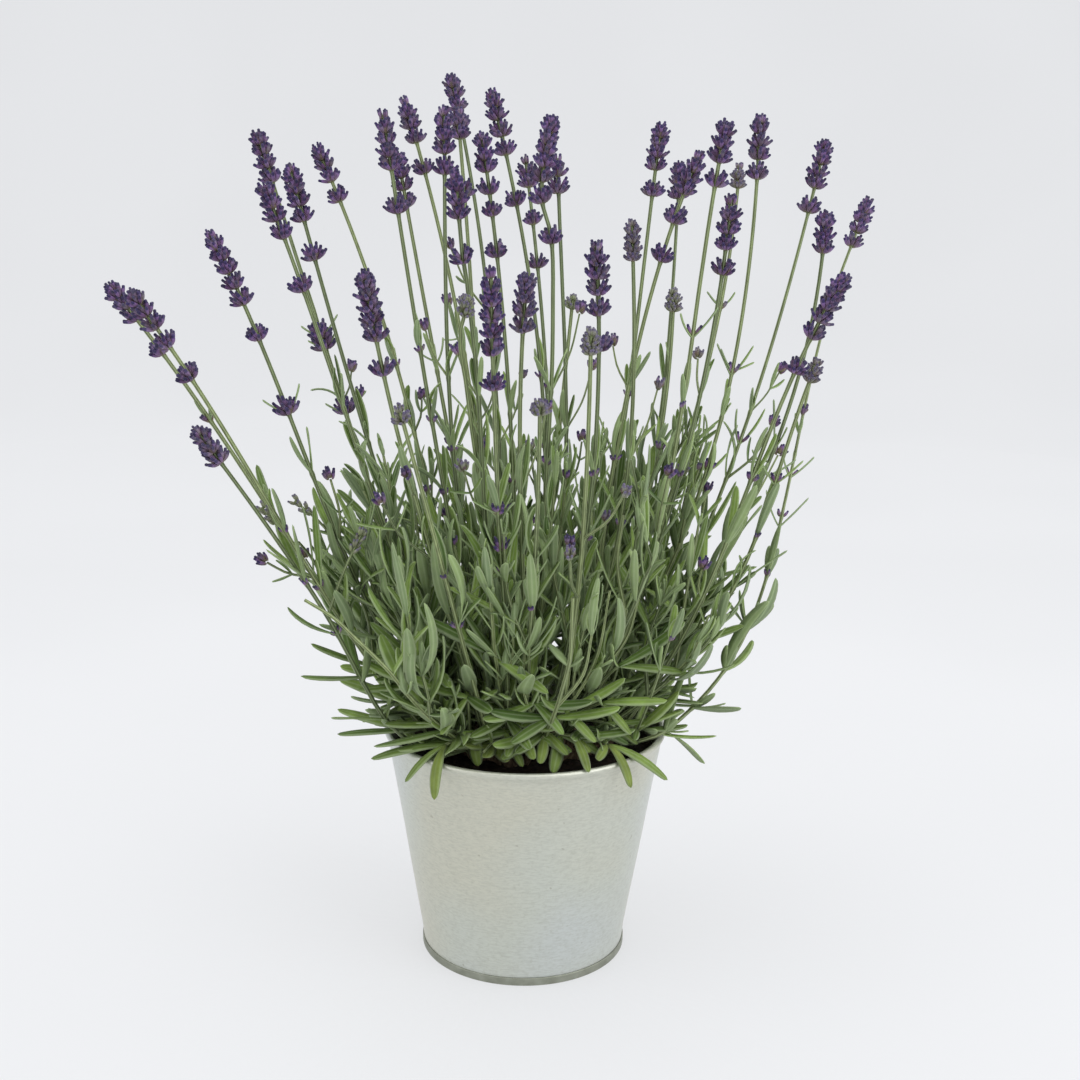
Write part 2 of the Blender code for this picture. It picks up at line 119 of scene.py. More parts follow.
def new_material(name, roughness, *labels, metallic=0.0, sheen=0.0, specular=0.5):
    """A material with one Principled shader; returns it, its tree and the shading values named in labels."""
    material = bpy.data.materials.new(name)
    material.use_nodes = True
    tree = material.node_tree
    shader = tree.nodes["Principled BSDF"]
    shader.inputs["Roughness"].default_value = roughness
    shader.inputs["Metallic"].default_value = metallic
    shader.inputs["Sheen Weight"].default_value = sheen
    if not metallic:
        shader.inputs["Specular IOR Level"].default_value = specular
    return material, tree, *[add_node(tree, "Attribute", out="Fac", attribute_name=label) for label in labels]


def lumps(tree, size, detail=3.0, stretch=(1, 1, 1)):
    """A cloudy pattern with lumps about size across, in metres; stretch makes them longer in x, y or z."""
    place = add_node(tree, "TexCoord", out="Object")
    place = add_node(tree, "Mapping", {"Vector": place, "Scale": [1 / part for part in stretch]})
    return add_node(tree, "TexNoise", {"Vector": place, "Scale": 1 / size, "Detail": detail})


def finished(material, colour, height, depth):
    """The material with its colour, and its surface raised by height times depth, in metres."""
    tree = material.node_tree
    inputs = tree.nodes["Principled BSDF"].inputs
    tree.links.new(colour, inputs["Base Color"])
    raised = add_node(tree, "Bump", {"Height": height, "Distance": depth, "Strength": 1.0})
    tree.links.new(raised, inputs["Normal"])
    return material


def galvanised_zinc():
    """Thin steel sheet dipped in zinc, brushed round and clear-lacquered: a pale satin grey that drifts from
    warm to cool, with fine rolling marks round the pot and a few brown freckles."""
    material, tree = new_material("brushed_galvanised_zinc", 0.45, metallic=0.7)
    inputs = tree.nodes["Principled BSDF"].inputs
    inputs["Coat Weight"].default_value = 0.35
    inputs["Coat Roughness"].default_value = 0.3
    drift = lumps(tree, 70 * MM, 1.0)
    stops = [(0.36, "#CBCBBC"), (0.52, "#C9CDC3"), (0.68, "#C9CECB")]
    colour = add_node(tree, "ValToRGB", {"Fac": drift}, stops=stops)
    grain = lumps(tree, 0.7 * MM, 3.0, (4, 4, 1))
    rolling_marks = (grain, [(0.34, "#8A8A8A"), (0.6, "#000000")], "#989B90")
    speckle = (lumps(tree, 1.3 * MM, 2.0), [(0.54, "#000000"), (0.68, "#6C6C6C")], "#9A9A86")
    freckles = (lumps(tree, 3.4 * MM, 1.0), [(0.76, "#000000"), (0.79, "#9A9A9A")], "#776E55")
    for pattern, stops, paint in (rolling_marks, speckle, freckles):
        share = add_node(tree, "ValToRGB", {"Fac": pattern}, stops=stops)
        colour = add_node(tree, "Mix", {"Factor": share, FIRST: colour, SECOND: paint}, **BLEND)
    rough = add_node(tree, "MapRange", {"Value": grain, "To Min": 0.38, "To Max": 0.52})
    tree.links.new(rough, inputs["Roughness"])
    return finished(material, colour, grain, 0.015 * MM)


def zinc_seam():
    """The same sheet where it is folded: a darker grey than the wall, with painted shade down in the fold
    along the seam's top."""
    material, tree, painted_crease_shade = new_material("folded_zinc_seam", 0.5, "along", metallic=0.7)
    stops = [(0.3, "#84877A"), (0.7, "#9B9E91")]
    colour = add_node(tree, "ValToRGB", {"Fac": lumps(tree, 5 * MM)}, stops=stops)
    # Painted shade: a near-black grey laid over the band down in the fold, where the seam meets the wall.
    colour = add_node(tree, "Mix", {"Factor": painted_crease_shade, FIRST: colour, SECOND: "#3A3930"}, **BLEND)
    return finished(material, colour, lumps(tree, 1.2 * MM, 2.0), 0.03 * MM)


def potting_soil():
    """Moist peat with bits of bark: nearly black, dull and crumbly, with a few brown fibres."""
    material, tree = new_material("moist_peat", 0.9)
    crumbs = lumps(tree, 2.5 * MM, 6.0)
    stops = [(0.35, "#17110D"), (0.6, "#33271E"), (0.8, "#5A4632")]
    colour = add_node(tree, "ValToRGB", {"Fac": crumbs}, stops=stops)
    return finished(material, colour, crumbs, 0.8 * MM)


def lavender_bark():
    """Old lavender wood: grey-brown, dry and stringy, split into fine strips along the branch."""
    material, tree = new_material("stringy_bark", 0.88)
    strips = lumps(tree, 1.1 * MM, 4.0, (1, 1, 6))
    stops = [(0.3, "#4A3A2C"), (0.55, "#7C6A53"), (0.8, "#A4977D")]
    colour = add_node(tree, "ValToRGB", {"Fac": strips}, stops=stops)
    return finished(material, colour, strips, 0.5 * MM)


def stalk_green(colours):
    """Square green stalks with short grey down, with painted highlight on the four edges and painted shade,
    deeper and browner, on the hollow faces between them.
    """
    material, tree, tint, across = new_material(
        "downy_stalk", 0.55, "tint", "across", sheen=0.05, specular=0.4
    )
    links = {"Factor": tint, FIRST: list(colours.stalk_dark), SECOND: list(colours.stalk_light)}
    body = add_node(tree, "Mix", links, **BLEND)
    # Painted shade: the hollow faces between the edges are darkened and browned; the streaks are random
    # lengthwise tone.
    painted_groove_shade = (1.0, across, [(0.0, "#928A70"), (0.5, "#FFFFFF")])
    streaks = (0.5, lumps(tree, 1.5 * MM, 3.0, (1, 1, 8)), [(0.3, "#7F7F7F"), (0.7, "#FFFFFF")])
    for share, pattern, stops in (painted_groove_shade, streaks):
        shade = add_node(tree, "ValToRGB", {"Fac": pattern}, stops=stops)
        links = {"Factor": share, FIRST: body, SECOND: shade}
        body = add_node(tree, "Mix", links, blend_type="MULTIPLY", **BLEND)
    # Painted highlight: a pale green laid along the four edges.
    edge = add_node(tree, "ValToRGB", {"Fac": across}, stops=[(0.55, "#000000"), (1.0, "#8C8C8C")])
    colour = add_node(tree, "Mix", {"Factor": edge, FIRST: body, SECOND: "#BDC5A0"}, **BLEND)
    return finished(material, colour, lumps(tree, 0.35 * MM, 2.0), 0.04 * MM)


def leaf_green(colours):
    """Narrow leaves felted with fine grey hairs: green above, greyer below, with a pale midrib and rim that
    are partly the leaf's own paler rib and rolled edge and partly painted highlight; the oldest, low on the
    plant, have lost their down and turned yellow-green, and show these pale lines less."""
    labels = ("tint", "age", "under", "across")
    material, tree, tint, age, under, across = new_material(
        "felted_leaf", 0.6, *labels, sheen=0.05, specular=0.3
    )
    links = {"Factor": tint, FIRST: list(colours.leaf_dark), SECOND: list(colours.leaf_light)}
    body = add_node(tree, "Mix", links, **BLEND)
    links = {"Factor": age, FIRST: body, SECOND: list(colours.leaf_old)}
    body = add_node(tree, "Mix", links, **BLEND)
    stops = [(0.3, "#A0A0A0"), (0.7, "#FFFFFF")]
    blotch = add_node(tree, "ValToRGB", {"Fac": lumps(tree, 6 * MM)}, stops=stops)
    links = {"Factor": 0.6, FIRST: body, SECOND: blotch}
    body = add_node(tree, "Mix", links, blend_type="MULTIPLY", **BLEND)
    downy = add_node(tree, "Mix", {"Factor": 0.5, FIRST: body, SECOND: "#A0B08E"}, **BLEND)
    body = add_node(tree, "Mix", {"Factor": under, FIRST: body, SECOND: downy}, **BLEND)
    # Pale lines along the midrib and the rims: partly the leaf's own colour, partly painted highlight, weaker
    # on old leaves.
    side = add_node(tree, "Math", {0: across}, operation="ABSOLUTE")
    stops = [(0.0, "#909090"), (0.2, "#101010"), (0.56, "#000000"), (0.84, "#B8B8B8")]
    lines = add_node(tree, "ValToRGB", {"Fac": side}, stops=stops)
    lines_fade_with_age = add_node(tree, "MapRange", {"Value": age, "To Min": 1.0, "To Max": 0.35})
    lines = add_node(tree, "Math", {0: lines, 1: lines_fade_with_age}, operation="MULTIPLY")
    colour = add_node(tree, "Mix", {"Factor": lines, FIRST: body, SECOND: "#B7C79C"}, **BLEND)
    return finished(material, colour, lumps(tree, 0.4 * MM, 2.0), 0.05 * MM)


def floret_violet(colours):
    """Ribbed woolly calyces: grey-green at the foot, dusty violet along the ribs, and the dark folded bud;
    young ones are still grey-green all over."""
    labels = ("along", "tint", "age", "across")
    material, tree, along, tint, age, across = new_material(
        "woolly_calyx", 0.7, *labels, sheen=0.1, specular=0.3
    )
    stops = [(0.0, "#6A6446"), (0.28, "#5A3B59"), (0.68, "#53355F"), (0.76, "#231B3E")]
    dark = add_node(tree, "ValToRGB", {"Fac": along}, stops=stops)
    stops = [(0.0, "#98926E"), (0.28, "#8F7094"), (0.68, "#80629A"), (0.76, "#382C5C")]
    light = add_node(tree, "ValToRGB", {"Fac": along}, stops=stops)
    ripe = add_node(tree, "Mix", {"Factor": tint, FIRST: dark, SECOND: light}, **BLEND)
    stops = [(0.0, "#7F8A5C"), (0.6, "#8E9575"), (0.9, "#70697F")]
    green = add_node(tree, "ValToRGB", {"Fac": along}, stops=stops)
    body = add_node(tree, "Mix", {"Factor": age, FIRST: green, SECOND: ripe}, **BLEND)
    rib = add_node(tree, "ValToRGB", {"Fac": across}, stops=[(0.4, "#000000"), (1.0, "#505050")])
    links = {"Factor": rib, FIRST: body, SECOND: list(colours.calyx_down)}
    colour = add_node(tree, "Mix", links, **BLEND)
    return finished(material, colour, lumps(tree, 0.3 * MM, 2.0), 0.06 * MM)


def bract_brown():
    """The thin dry scale under each spray of florets: brown with a green middle."""
    material, tree, along = new_material("papery_bract", 0.7, "along")
    stops = [(0.0, "#7E8258"), (0.5, "#7A6A58"), (1.0, "#5A4A55")]
    colour = add_node(tree, "ValToRGB", {"Fac": along}, stops=stops)
    return finished(material, colour, lumps(tree, 0.5 * MM, 2.0), 0.04 * MM)


# How far the paper lies flat from the plant, how it curves up, and how high and thick it is, in metres.
PAPER_FLAT = 1.5
PAPER_CURVE = 0.9
PAPER_TOP = 2.6
PAPER_THICKNESS = 0.02
# How strongly the paper glows: painted light that lifts the shadows on the floor.
PAPER_GLOW = 0.744


def seamless_paper(colours):
    """White paper that glows with painted light, so that things stand on it almost without a shadow; it
    curves up into its own wall, and its glow dims a little with distance from the plant, darker towards the
    top."""
    material, tree = new_material("lit_studio_paper", 0.9)
    inputs = tree.nodes["Principled BSDF"].inputs
    stops = [(0.4, "#6D6E70"), (0.6, "#717274")]
    tone = add_node(tree, "ValToRGB", {"Fac": lumps(tree, 400 * MM, 1.0)}, stops=stops)
    tree.links.new(tone, inputs["Base Color"])
    place = add_node(tree, "TexCoord", out="Object")
    reach = add_node(tree, "VectorMath", {0: place}, out="Value", operation="LENGTH")
    share = add_node(tree, "MapRange", {"Value": reach, "From Max": PAPER_FLAT + 1.0})
    # Painted falloff: the glow fades with distance from the plant, so the wall is darker towards its top.
    stops = [(0.14, "#000000"), (0.33, "#616161"), (1.0, "#858585")]
    dim = add_node(tree, "ValToRGB", {"Fac": share}, stops=stops)
    links = {"Factor": dim, FIRST: list(colours.floor), SECOND: "#CECFD1"}
    glow = add_node(tree, "Mix", links, **BLEND)
    tree.links.new(glow, inputs["Emission Color"])
    inputs["Emission Strength"].default_value = PAPER_GLOW
    return material


# ---------------------------------------------------------------- mesh building


# Shading values that every point carries.
VALUES = ("along", "across", "tint", "under", "age")
# Material slots of a stem or a shoot; a piece of one material has only the first.
STALK, LEAF, FLORET, SCALE = range(4)


class Shape:
    """The points, faces and shading values of one piece, gathered part by part."""

    def __init__(self):
        self.points = []
        self.values = []
        self.faces = []
        self.slots = []
        self.count = 0

    def loft(self, rings, slot, along, across, tint, under=0.0, age=0.0):
        """Closes a run of rings, an array of (ring, corner, xyz), into a solid with flat ends.

        along runs with the rings, across and under round each ring, and tint and age are one each."""
        steps, sides, _ = rings.shape
        start = self.count
        here = np.arange(steps * sides).reshape(steps, sides) + start
        there = np.roll(here, -1, axis=1)
        walls = np.stack([here[:-1], there[:-1], there[1:], here[1:]], axis=-1).reshape(-1, 4)
        self.faces += walls.tolist()
        self.faces += [here[0][::-1].tolist(), here[-1].tolist()]
        self.slots += [slot] * (len(walls) + 2)
        self.points.append(rings.reshape(-1, 3))
        grid = np.ones((steps, sides))
        each = [grid * np.reshape(along, (-1, 1)), grid * across, grid * tint, grid * under, grid * age]
        self.values.append(np.stack(each, axis=-1).reshape(-1, len(VALUES)))
        self.count += steps * sides

    def make(self, name, materials):
        """The gathered shape as an object."""
        mesh = bpy.data.meshes.new(name)
        mesh.from_pydata(np.concatenate(self.points), [], self.faces)
        for material in materials:
            mesh.materials.append(material)
        mesh.polygons.foreach_set("material_index", self.slots)
        mesh.polygons.foreach_set("use_smooth", [True] * len(self.faces))
        values = np.concatenate(self.values).astype(np.float32)
        for column, label in enumerate(VALUES):
            layer = mesh.attributes.new(label, "FLOAT", "POINT")
            layer.data.foreach_set("value", np.ascontiguousarray(values[:, column]))
        mesh.update()
        piece = bpy.data.objects.new(name, mesh)
        bpy.context.scene.collection.objects.link(piece)
        return piece


SKYWARD = np.array([0.0, 0.0, 1.0])


def unit(vectors):
    """Vectors made one long."""
    return vectors / np.linalg.norm(vectors, axis=-1, keepdims=True)


def crosswise(direction):
    """A direction at right angles to another."""
    helper = SKYWARD if abs(direction[2]) < 0.9 else np.array([0.0, 1.0, 0.0])
    return unit(np.cross(direction, helper))


def away_from(axis, angle):
    """The direction that points away from an axis, at an angle round it."""
    first = crosswise(axis)
    return first * math.cos(angle) + np.cross(axis, first) * math.sin(angle)


def round_turn(count):
    """The angles of so many corners round a circle."""
    return np.arange(count) * 2 * math.pi / count


def carried_sides(points):
    """Tangent, side and normal at each point of a line, turning as little as they can."""
    tangents = unit(np.gradient(points, axis=0))
    sides = [crosswise(tangents[0])]
    for tangent in tangents[1:]:
        side = sides[-1] - tangent * np.dot(sides[-1], tangent)
        sides.append(unit(side))
    sides = np.array(sides)
    return tangents, sides, np.cross(tangents, sides)


def smooth_line(points, step):
    """Evenly spaced points, step apart, on a smooth curve through the given ones; and their distances."""
    points = np.asarray(points, float)
    gaps = np.linalg.norm(np.diff(points, axis=0), axis=1)
    places = np.concatenate([[0.0], np.cumsum(gaps)])
    slopes = np.gradient(points, places, axis=0)
    count = max(3, int(round(places[-1] / step)) + 1)
    wanted = np.linspace(0.0, places[-1], count)
    i = np.clip(np.searchsorted(places, wanted, side="right") - 1, 0, len(points) - 2)
    h = (places[i + 1] - places[i])[:, None]
    t = ((wanted - places[i])[:, None]) / h
    curve = (
        points[i] * (2 * t**3 - 3 * t**2 + 1)
        + slopes[i] * h * (t**3 - 2 * t**2 + t)
        + points[i + 1] * (3 * t**2 - 2 * t**3)
        + slopes[i + 1] * h * (t**3 - t**2)
    )
    return curve, wanted


# Corners of a square stalk with hollowed faces, as shares of its radius.
STALK_CORNERS = 8
STALK_EDGE = 1.14
STALK_FACE = 0.86


def add_stalk(shape, points, radii, tint, square=True):
    """A stalk along points, with one radius for each."""
    turn = round_turn(STALK_CORNERS)
    edge = np.arange(STALK_CORNERS) % 2 == 0
    reach = np.where(edge, STALK_EDGE, STALK_FACE) if square else np.ones(STALK_CORNERS)
    _, sides, normals = carried_sides(points)
    circle = sides[:, None] * (np.cos(turn) * reach)[None, :, None]
    circle = circle + normals[:, None] * (np.sin(turn) * reach)[None, :, None]
    rings = points[:, None] + circle * np.asarray(radii)[:, None, None]
    # across is 1 on the four edges and 0 on the faces between; the stalk's material paints highlight on the
    # edges and shade between them.
    shape.loft(rings, STALK, np.linspace(0, 1, len(points)), edge * 1.0, tint)


# Section of a leaf: (share of the half width, share of the half thickness, 1 on the underside).
LEAF_SECTION = np.array([
    (-1.0, 0.0, 0.6),
    (0.0, -1.9, 1.0),
    (1.0, 0.0, 0.6),
    (0.55, 1.0, 0.0),
    (0.0, -0.1, 0.0),
    (-0.55, 1.0, 0.0),
])
LEAF_PLACES = np.array([0.0, 0.08, 0.2, 0.34, 0.5, 0.66, 0.8, 0.9, 0.96, 1.0])
SCALE_PLACES = np.array([0.0, 0.3, 0.65, 0.9, 1.0])
LEAF_THICKNESS = 0.6 * MM
LEAF_ROLL = 0.36
# How wide a leaf is at its foot, where along it the full width is reached, and half its width at the tip.
LEAF_FOOT = 0.3
LEAF_WIDEST = 0.62
LEAF_EDGE = 0.12 * MM


def curled_spine(foot, along, up, length, bend, t, sway=0.0):
    """Points of a line that leaves foot in the direction along, curls towards up and sways sideways.

    t are their shares of its length. Also returns its side and up directions, and its curl at each point."""
    side = unit(np.cross(up, along))
    up = np.cross(along, side)
    angle = bend * t
    step = np.diff(t, prepend=0.0)
    forward = np.cumsum(np.cos(angle) * step)[:, None]
    upward = np.cumsum(np.sin(angle) * step)[:, None]
    spine = foot + length * (along * forward + up * upward + side * (sway * t**2)[:, None])
    return spine, side, up, angle


def leaf_rings(foot, along, up, length, width, bend, blunt, sway=0.0, twist=0.0, droop=0.0, t=LEAF_PLACES):
    """Rings of a narrow leaf with rolled edges and a grooved midrib.

    bend curls it towards up, sway sideways, twist turns it about itself, and droop lets its end sink. The
    higher blunt, the rounder its tip; t are the places of the rings along it."""
    spine, side, _, _ = curled_spine(foot, along, up, length, bend, t, sway)
    spine[:, 2] -= droop * length * t**2
    tangent = unit(np.gradient(spine, axis=0))
    across = unit(side - tangent * (tangent @ side)[:, None])
    normal = np.cross(tangent, across)
    turn = (twist * t)[:, None]
    twisted = across * np.cos(turn) + normal * np.sin(turn)
    normal = normal * np.cos(turn) - across * np.sin(turn)
    across = twisted
    swell = LEAF_FOOT + (1 - LEAF_FOOT) * np.sin(np.minimum(t / LEAF_WIDEST, 1.0) * math.pi / 2)
    half = width / 2 * swell * np.sqrt(np.maximum(1 - t**blunt, 0.0)) + LEAF_EDGE
    u, v, _ = LEAF_SECTION.T
    thick = LEAF_THICKNESS / 2 * np.minimum(1.0, half / (0.25 * width))
    lift = v[None] * thick[:, None] - LEAF_ROLL * half[:, None] * (u**2)[None]
    rings = spine[:, None] + across[:, None] * (u[None] * half[:, None])[..., None]
    return rings + normal[:, None] * lift[..., None]


def add_leaf(shape, rings, tint, age=0.0, under=LEAF_SECTION[:, 2], slot=LEAF):
    """Adds the rings of a leaf or scale; under is 1 where it shows its greyer underside."""
    along = LEAF_PLACES if len(rings) == len(LEAF_PLACES) else SCALE_PLACES
    # across, from the section's first column, places the pale midrib and rim lines, partly painted highlight,
    # in the leaf's material.
    shape.loft(rings, slot, along, LEAF_SECTION[:, 0], tint, under, age)


# Outline of a floret: (share of its length, share of its radius), over calyx, mouth and folded bud.
FLORET_OUTLINE = np.array([
    (0.0, 0.45),
    (0.18, 0.85),
    (0.48, 1.0),
    (0.7, 0.92),
    (0.76, 0.76),
    (0.93, 0.78),
    (1.0, 0.42),
])
FLORET_SIDES = 5


def add_floret(shape, foot, along, up, length, radius, bend, tint, age):
    """One blunt calyx with its bud, curling towards up; age is 0 when green and 1 when fully coloured."""
    t, reach = FLORET_OUTLINE.T
    spine, side, up, angle = curled_spine(foot, along, up, length, bend, t)
    normal = up * np.cos(angle)[:, None] - along * np.sin(angle)[:, None]
    turn = round_turn(FLORET_SIDES)
    wide = (reach * radius)[:, None]
    rings = spine[:, None] + side * (np.cos(turn)[None] * wide)[..., None]
    rings = rings + normal[:, None] * (np.sin(turn)[None] * wide)[..., None]
    shape.loft(rings, FLORET, t, (np.arange(FLORET_SIDES) % 2) * 1.0, tint, age=age)


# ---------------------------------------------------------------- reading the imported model


# Corners closer than this are the same corner.
WELD = 0.01 * MM


def tube_rings(node):
    """Centre and radius of each ring of a square tube, from its root to its tip."""
    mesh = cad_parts[node].data
    points = np.array([v.co for v in mesh.vertices])
    keys, same = np.unique(np.round(points / WELD).astype(int), axis=0, return_inverse=True)
    same = same.reshape(-1)
    points = keys * WELD
    near = [set() for _ in keys]
    for edge in mesh.edges:
        a, b = same[edge.vertices[0]], same[edge.vertices[1]]
        if a != b:
            near[a].add(b)
            near[b].add(a)
    ring = set(np.argsort(points[:, 2])[:4].tolist())
    seen = set()
    found = []
    while ring:
        seen |= ring
        corners = points[sorted(ring)]
        centre = corners.mean(axis=0)
        found.append((centre, np.linalg.norm(corners - centre, axis=1).mean()))
        ring = {n for i in ring for n in near[i]} - seen
    return found


# Height between two cuts through a stalk, how far off the next may lie, and which of them are kept.
TRACE_STEP = 1.0 * MM
TRACE_REACH = 2.4 * MM
TRACE_KEEP = 8


def stalk_line(node):
    """The middle of a leafy shoot's stalk, followed upwards from its root."""
    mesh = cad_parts[node].data
    points = np.array([v.co for v in mesh.vertices])
    ends = np.array([edge.vertices[:] for edge in mesh.edges])
    a, b = points[ends[:, 0]], points[ends[:, 1]]
    lowest = np.argsort(points[:, 2])[:4]
    line = [points[lowest].mean(axis=0)]
    drift = np.zeros(3)
    height = line[0][2] + TRACE_STEP
    while height < points[:, 2].max():
        crossed = (a[:, 2] - height) * (b[:, 2] - height) < 0
        share = (height - a[crossed, 2]) / (b[crossed, 2] - a[crossed, 2])
        cuts = a[crossed] + (b[crossed] - a[crossed]) * share[:, None]
        guess = line[-1] + drift
        close = cuts[np.linalg.norm(cuts[:, :2] - guess[:2], axis=1) < TRACE_REACH]
        if not len(close):
            break
        middle = (close.min(axis=0) + close.max(axis=0)) / 2
        drift = 0.7 * drift + 0.3 * (middle - line[-1])
        line.append(line[-1] + np.append((middle - line[-1])[:2], TRACE_STEP))
        height += TRACE_STEP
    return np.array(line[::TRACE_KEEP])


# ---------------------------------------------------------------- plant parts


# How far leaves stay above the rim and the soil, and the band round the rim's radius that the wall takes up.
CLEARANCE = 0.5 * MM
WALL_INWARDS = 5 * MM
WALL_OUTWARDS = 0.6 * MM


def clear_of_pot(rings):
    """True if a leaf neither cuts the pot's rim and wall nor dips into the soil."""
    points = rings.reshape(-1, 3)
    reach = np.hypot(points[:, 0], points[:, 1])
    height = points[:, 2]
    band = (reach > RIM_RADIUS - WALL_INWARDS) & (reach < RIM_RADIUS + WALL_OUTWARDS)
    wall = (height < RIM_TOP + CLEARANCE) & band
    soil = (height < SOIL_TOP + CLEARANCE) & (reach < RIM_RADIUS)
    return not (wall | soil).any()


# Reach of the leafy bush at heights above the rim.
BUSH_HEIGHTS = RIM_TOP + np.array([-30, -8, 12, 45, 68, 92, 112, 136, 158, 181, 206]) * MM
BUSH_REACHES = np.array([70, 76, 80, 87, 91, 94, 92, 84, 74, 60, 40]) * MM


def inside_bush(rings, slack):
    """True if a leaf keeps within the bush's outline, give or take slack."""
    points = rings.reshape(-1, 3)
    reach = np.hypot(points[:, 0], points[:, 1])
    return bool((reach < np.interp(points[:, 2], BUSH_HEIGHTS, BUSH_REACHES) + slack).all())


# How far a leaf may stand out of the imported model's box.
BOX_MARGIN = 6 * MM


def inside_box(rings):
    """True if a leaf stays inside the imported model's box, but for a small margin."""
    points = rings.reshape(-1, 3)
    low, high = (np.array(corner) for corner in CAD_BOX)
    return bool((points > low - BOX_MARGIN).all() and (points < high + BOX_MARGIN).all())


# Flower stems that stand free at the front, with no leaves before them; their lines, once they are read; how
# far to either side they stay free; and the slope at which they are looked down on.
FREE_STEMS = (8, 21, 25, 26, 27, 34, 36, 38, 43)
free_lines = []
FREE_SIDE = 2.4 * MM
FREE_SLOPE = 0.23
FREE_DEPTH = 4 * MM


def read_free_lines():
    """Fills free_lines with the height, x and y of every free stem."""
    free_lines.clear()
    for index in FREE_STEMS:
        line = stem_line(FLOWER_STEMS[index - 1])[0]
        free_lines.append((line[:, 2], line[:, 0], line[:, 1]))


def hides_a_stalk(rings, foot):
    """True if a leaf stands before one of the free stems, unless it grows from that stem."""
    points = rings[::2].reshape(-1, 3)
    for heights, x, y in free_lines:
        if abs(np.interp(foot[2], heights, x) - foot[0]) < FREE_DEPTH / 2:
            if abs(np.interp(foot[2], heights, y) - foot[1]) < FREE_DEPTH / 2:
                continue
        depth = np.interp(points[:, 2], heights, y) - points[:, 1]
        seen_at = points[:, 2] - depth * FREE_SLOPE
        beside = np.abs(np.interp(seen_at, heights, x) - points[:, 0])
        if ((depth > FREE_DEPTH) & (beside < FREE_SIDE)).any():
            return True
    return False


# How many times a leaf is tried.
TRIES = 10
# How leaves change with their height above the rim: (height in mm, opening angle, length share, width share,
# share of old leaves).
HABIT = np.array([
    (0, 60, 0.78, 1.4, 0.25),
    (28, 52, 1.0, 1.3, 0.0),
    (60, 36, 1.05, 1.04, 0.0),
    (95, 22, 0.84, 0.76, 0.0),
    (140, 17, 0.58, 0.58, 0.0),
    (190, 20, 0.48, 0.5, 0.0),
])


def habit_at(foot):
    """Opening angle, length share, width share and age of leaves at a height."""
    height = (foot[2] - RIM_TOP) / MM
    return [np.interp(height, HABIT[:, 0], HABIT[:, column]) for column in range(1, 5)]


def spread_leaf(shape, chance, foot, axis, outwards, leaves, size=1.0, lift=0.0, slack=0.0):
    """A leaf that leaves a stalk as its height asks for; tried a few times until it has room.

    lift turns it towards the sky."""
    opening, length, width, old = habit_at(foot)
    aim = unit(axis + SKYWARD * lift)
    for attempt in range(TRIES):
        shrink = size * (1.0 - 0.045 * attempt)
        angle = math.radians(opening * (0.5 + 0.5 * size) * chance.uniform(0.7, 1.25))
        along = unit(aim * math.cos(angle) + outwards * math.sin(angle))
        rings = leaf_rings(
            foot,
            along,
            aim,
            leaves.length * length * shrink * chance.uniform(0.78, 1.2),
            leaves.width * width * (0.4 + 0.6 * size) * chance.uniform(0.78, 1.16),
            bend=chance.gauss(0.25, 0.45) - 0.3 * old,
            sway=chance.gauss(0.0, 0.1),
            twist=chance.gauss(0.0, 0.5),
            droop=chance.uniform(0.0, 0.1) + 0.3 * old * chance.random(),
            blunt=chance.choice((2.6, 4.0, 6.0)) + 3 * old,
        )
        roomy = clear_of_pot(rings) and inside_box(rings) and inside_bush(rings, slack)
        if roomy and not hides_a_stalk(rings, foot):
            add_leaf(shape, rings, chance.random(), min(1.0, old + chance.uniform(0, 0.25)))
            return


def add_leaf_pair(shape, chance, foot, axis, turn, leaves, size=1.0, *, axil, **room):
    """Two opposite leaves, and as often as axil says young ones in their axils."""
    for half in (0.0, math.pi):
        angle = turn + half + chance.uniform(-0.25, 0.25)
        outwards = away_from(axis, angle)
        spread_leaf(shape, chance, foot, axis, outwards, leaves, size, **room)
        if chance.random() < axil:
            for side in (-0.45, 0.45):
                young = size * chance.uniform(0.35, 0.6)
                spread_leaf(shape, chance, foot, axis, away_from(axis, angle + side), leaves, young, **room)


# One spray of a whorl: (turn about the stalk, as a share of half the spray's angle; share of the full tilt;
# step up in mm).
SPRAY = (
    (-1.0, 1.25, 0.0),
    (-0.33, 1.3, 0.0),
    (0.33, 1.3, 0.0),
    (1.0, 1.25, 0.0),
    (-0.7, 0.9, 0.8),
    (0.0, 0.95, 0.8),
    (0.7, 0.9, 0.8),
    (-0.4, 0.55, 1.5),
    (0.4, 0.55, 1.5),
)
SMALL_SPRAY = (
    (-0.8, 1.2, 0.0),
    (0.0, 1.2, 0.0),
    (0.8, 1.2, 0.0),
    (-0.4, 0.6, 0.9),
    (0.4, 0.6, 0.9),
)
BUD_PAIR = (
    (-0.25, 1.0, 0.0),
    (0.3, 0.8, 0.4),
)
TIP_SPRAY = (
    (-0.7, 1.1, 0.0),
    (0.7, 1.0, 0.3),
    (0.0, 0.4, 0.6),
)
# How far a floret with a full tilt curves back up, in radians.
CUPPED = 0.42
# The dry scale under a spray.
SCALE_LENGTH = 4.4 * MM
SCALE_WIDTH = 3.2 * MM


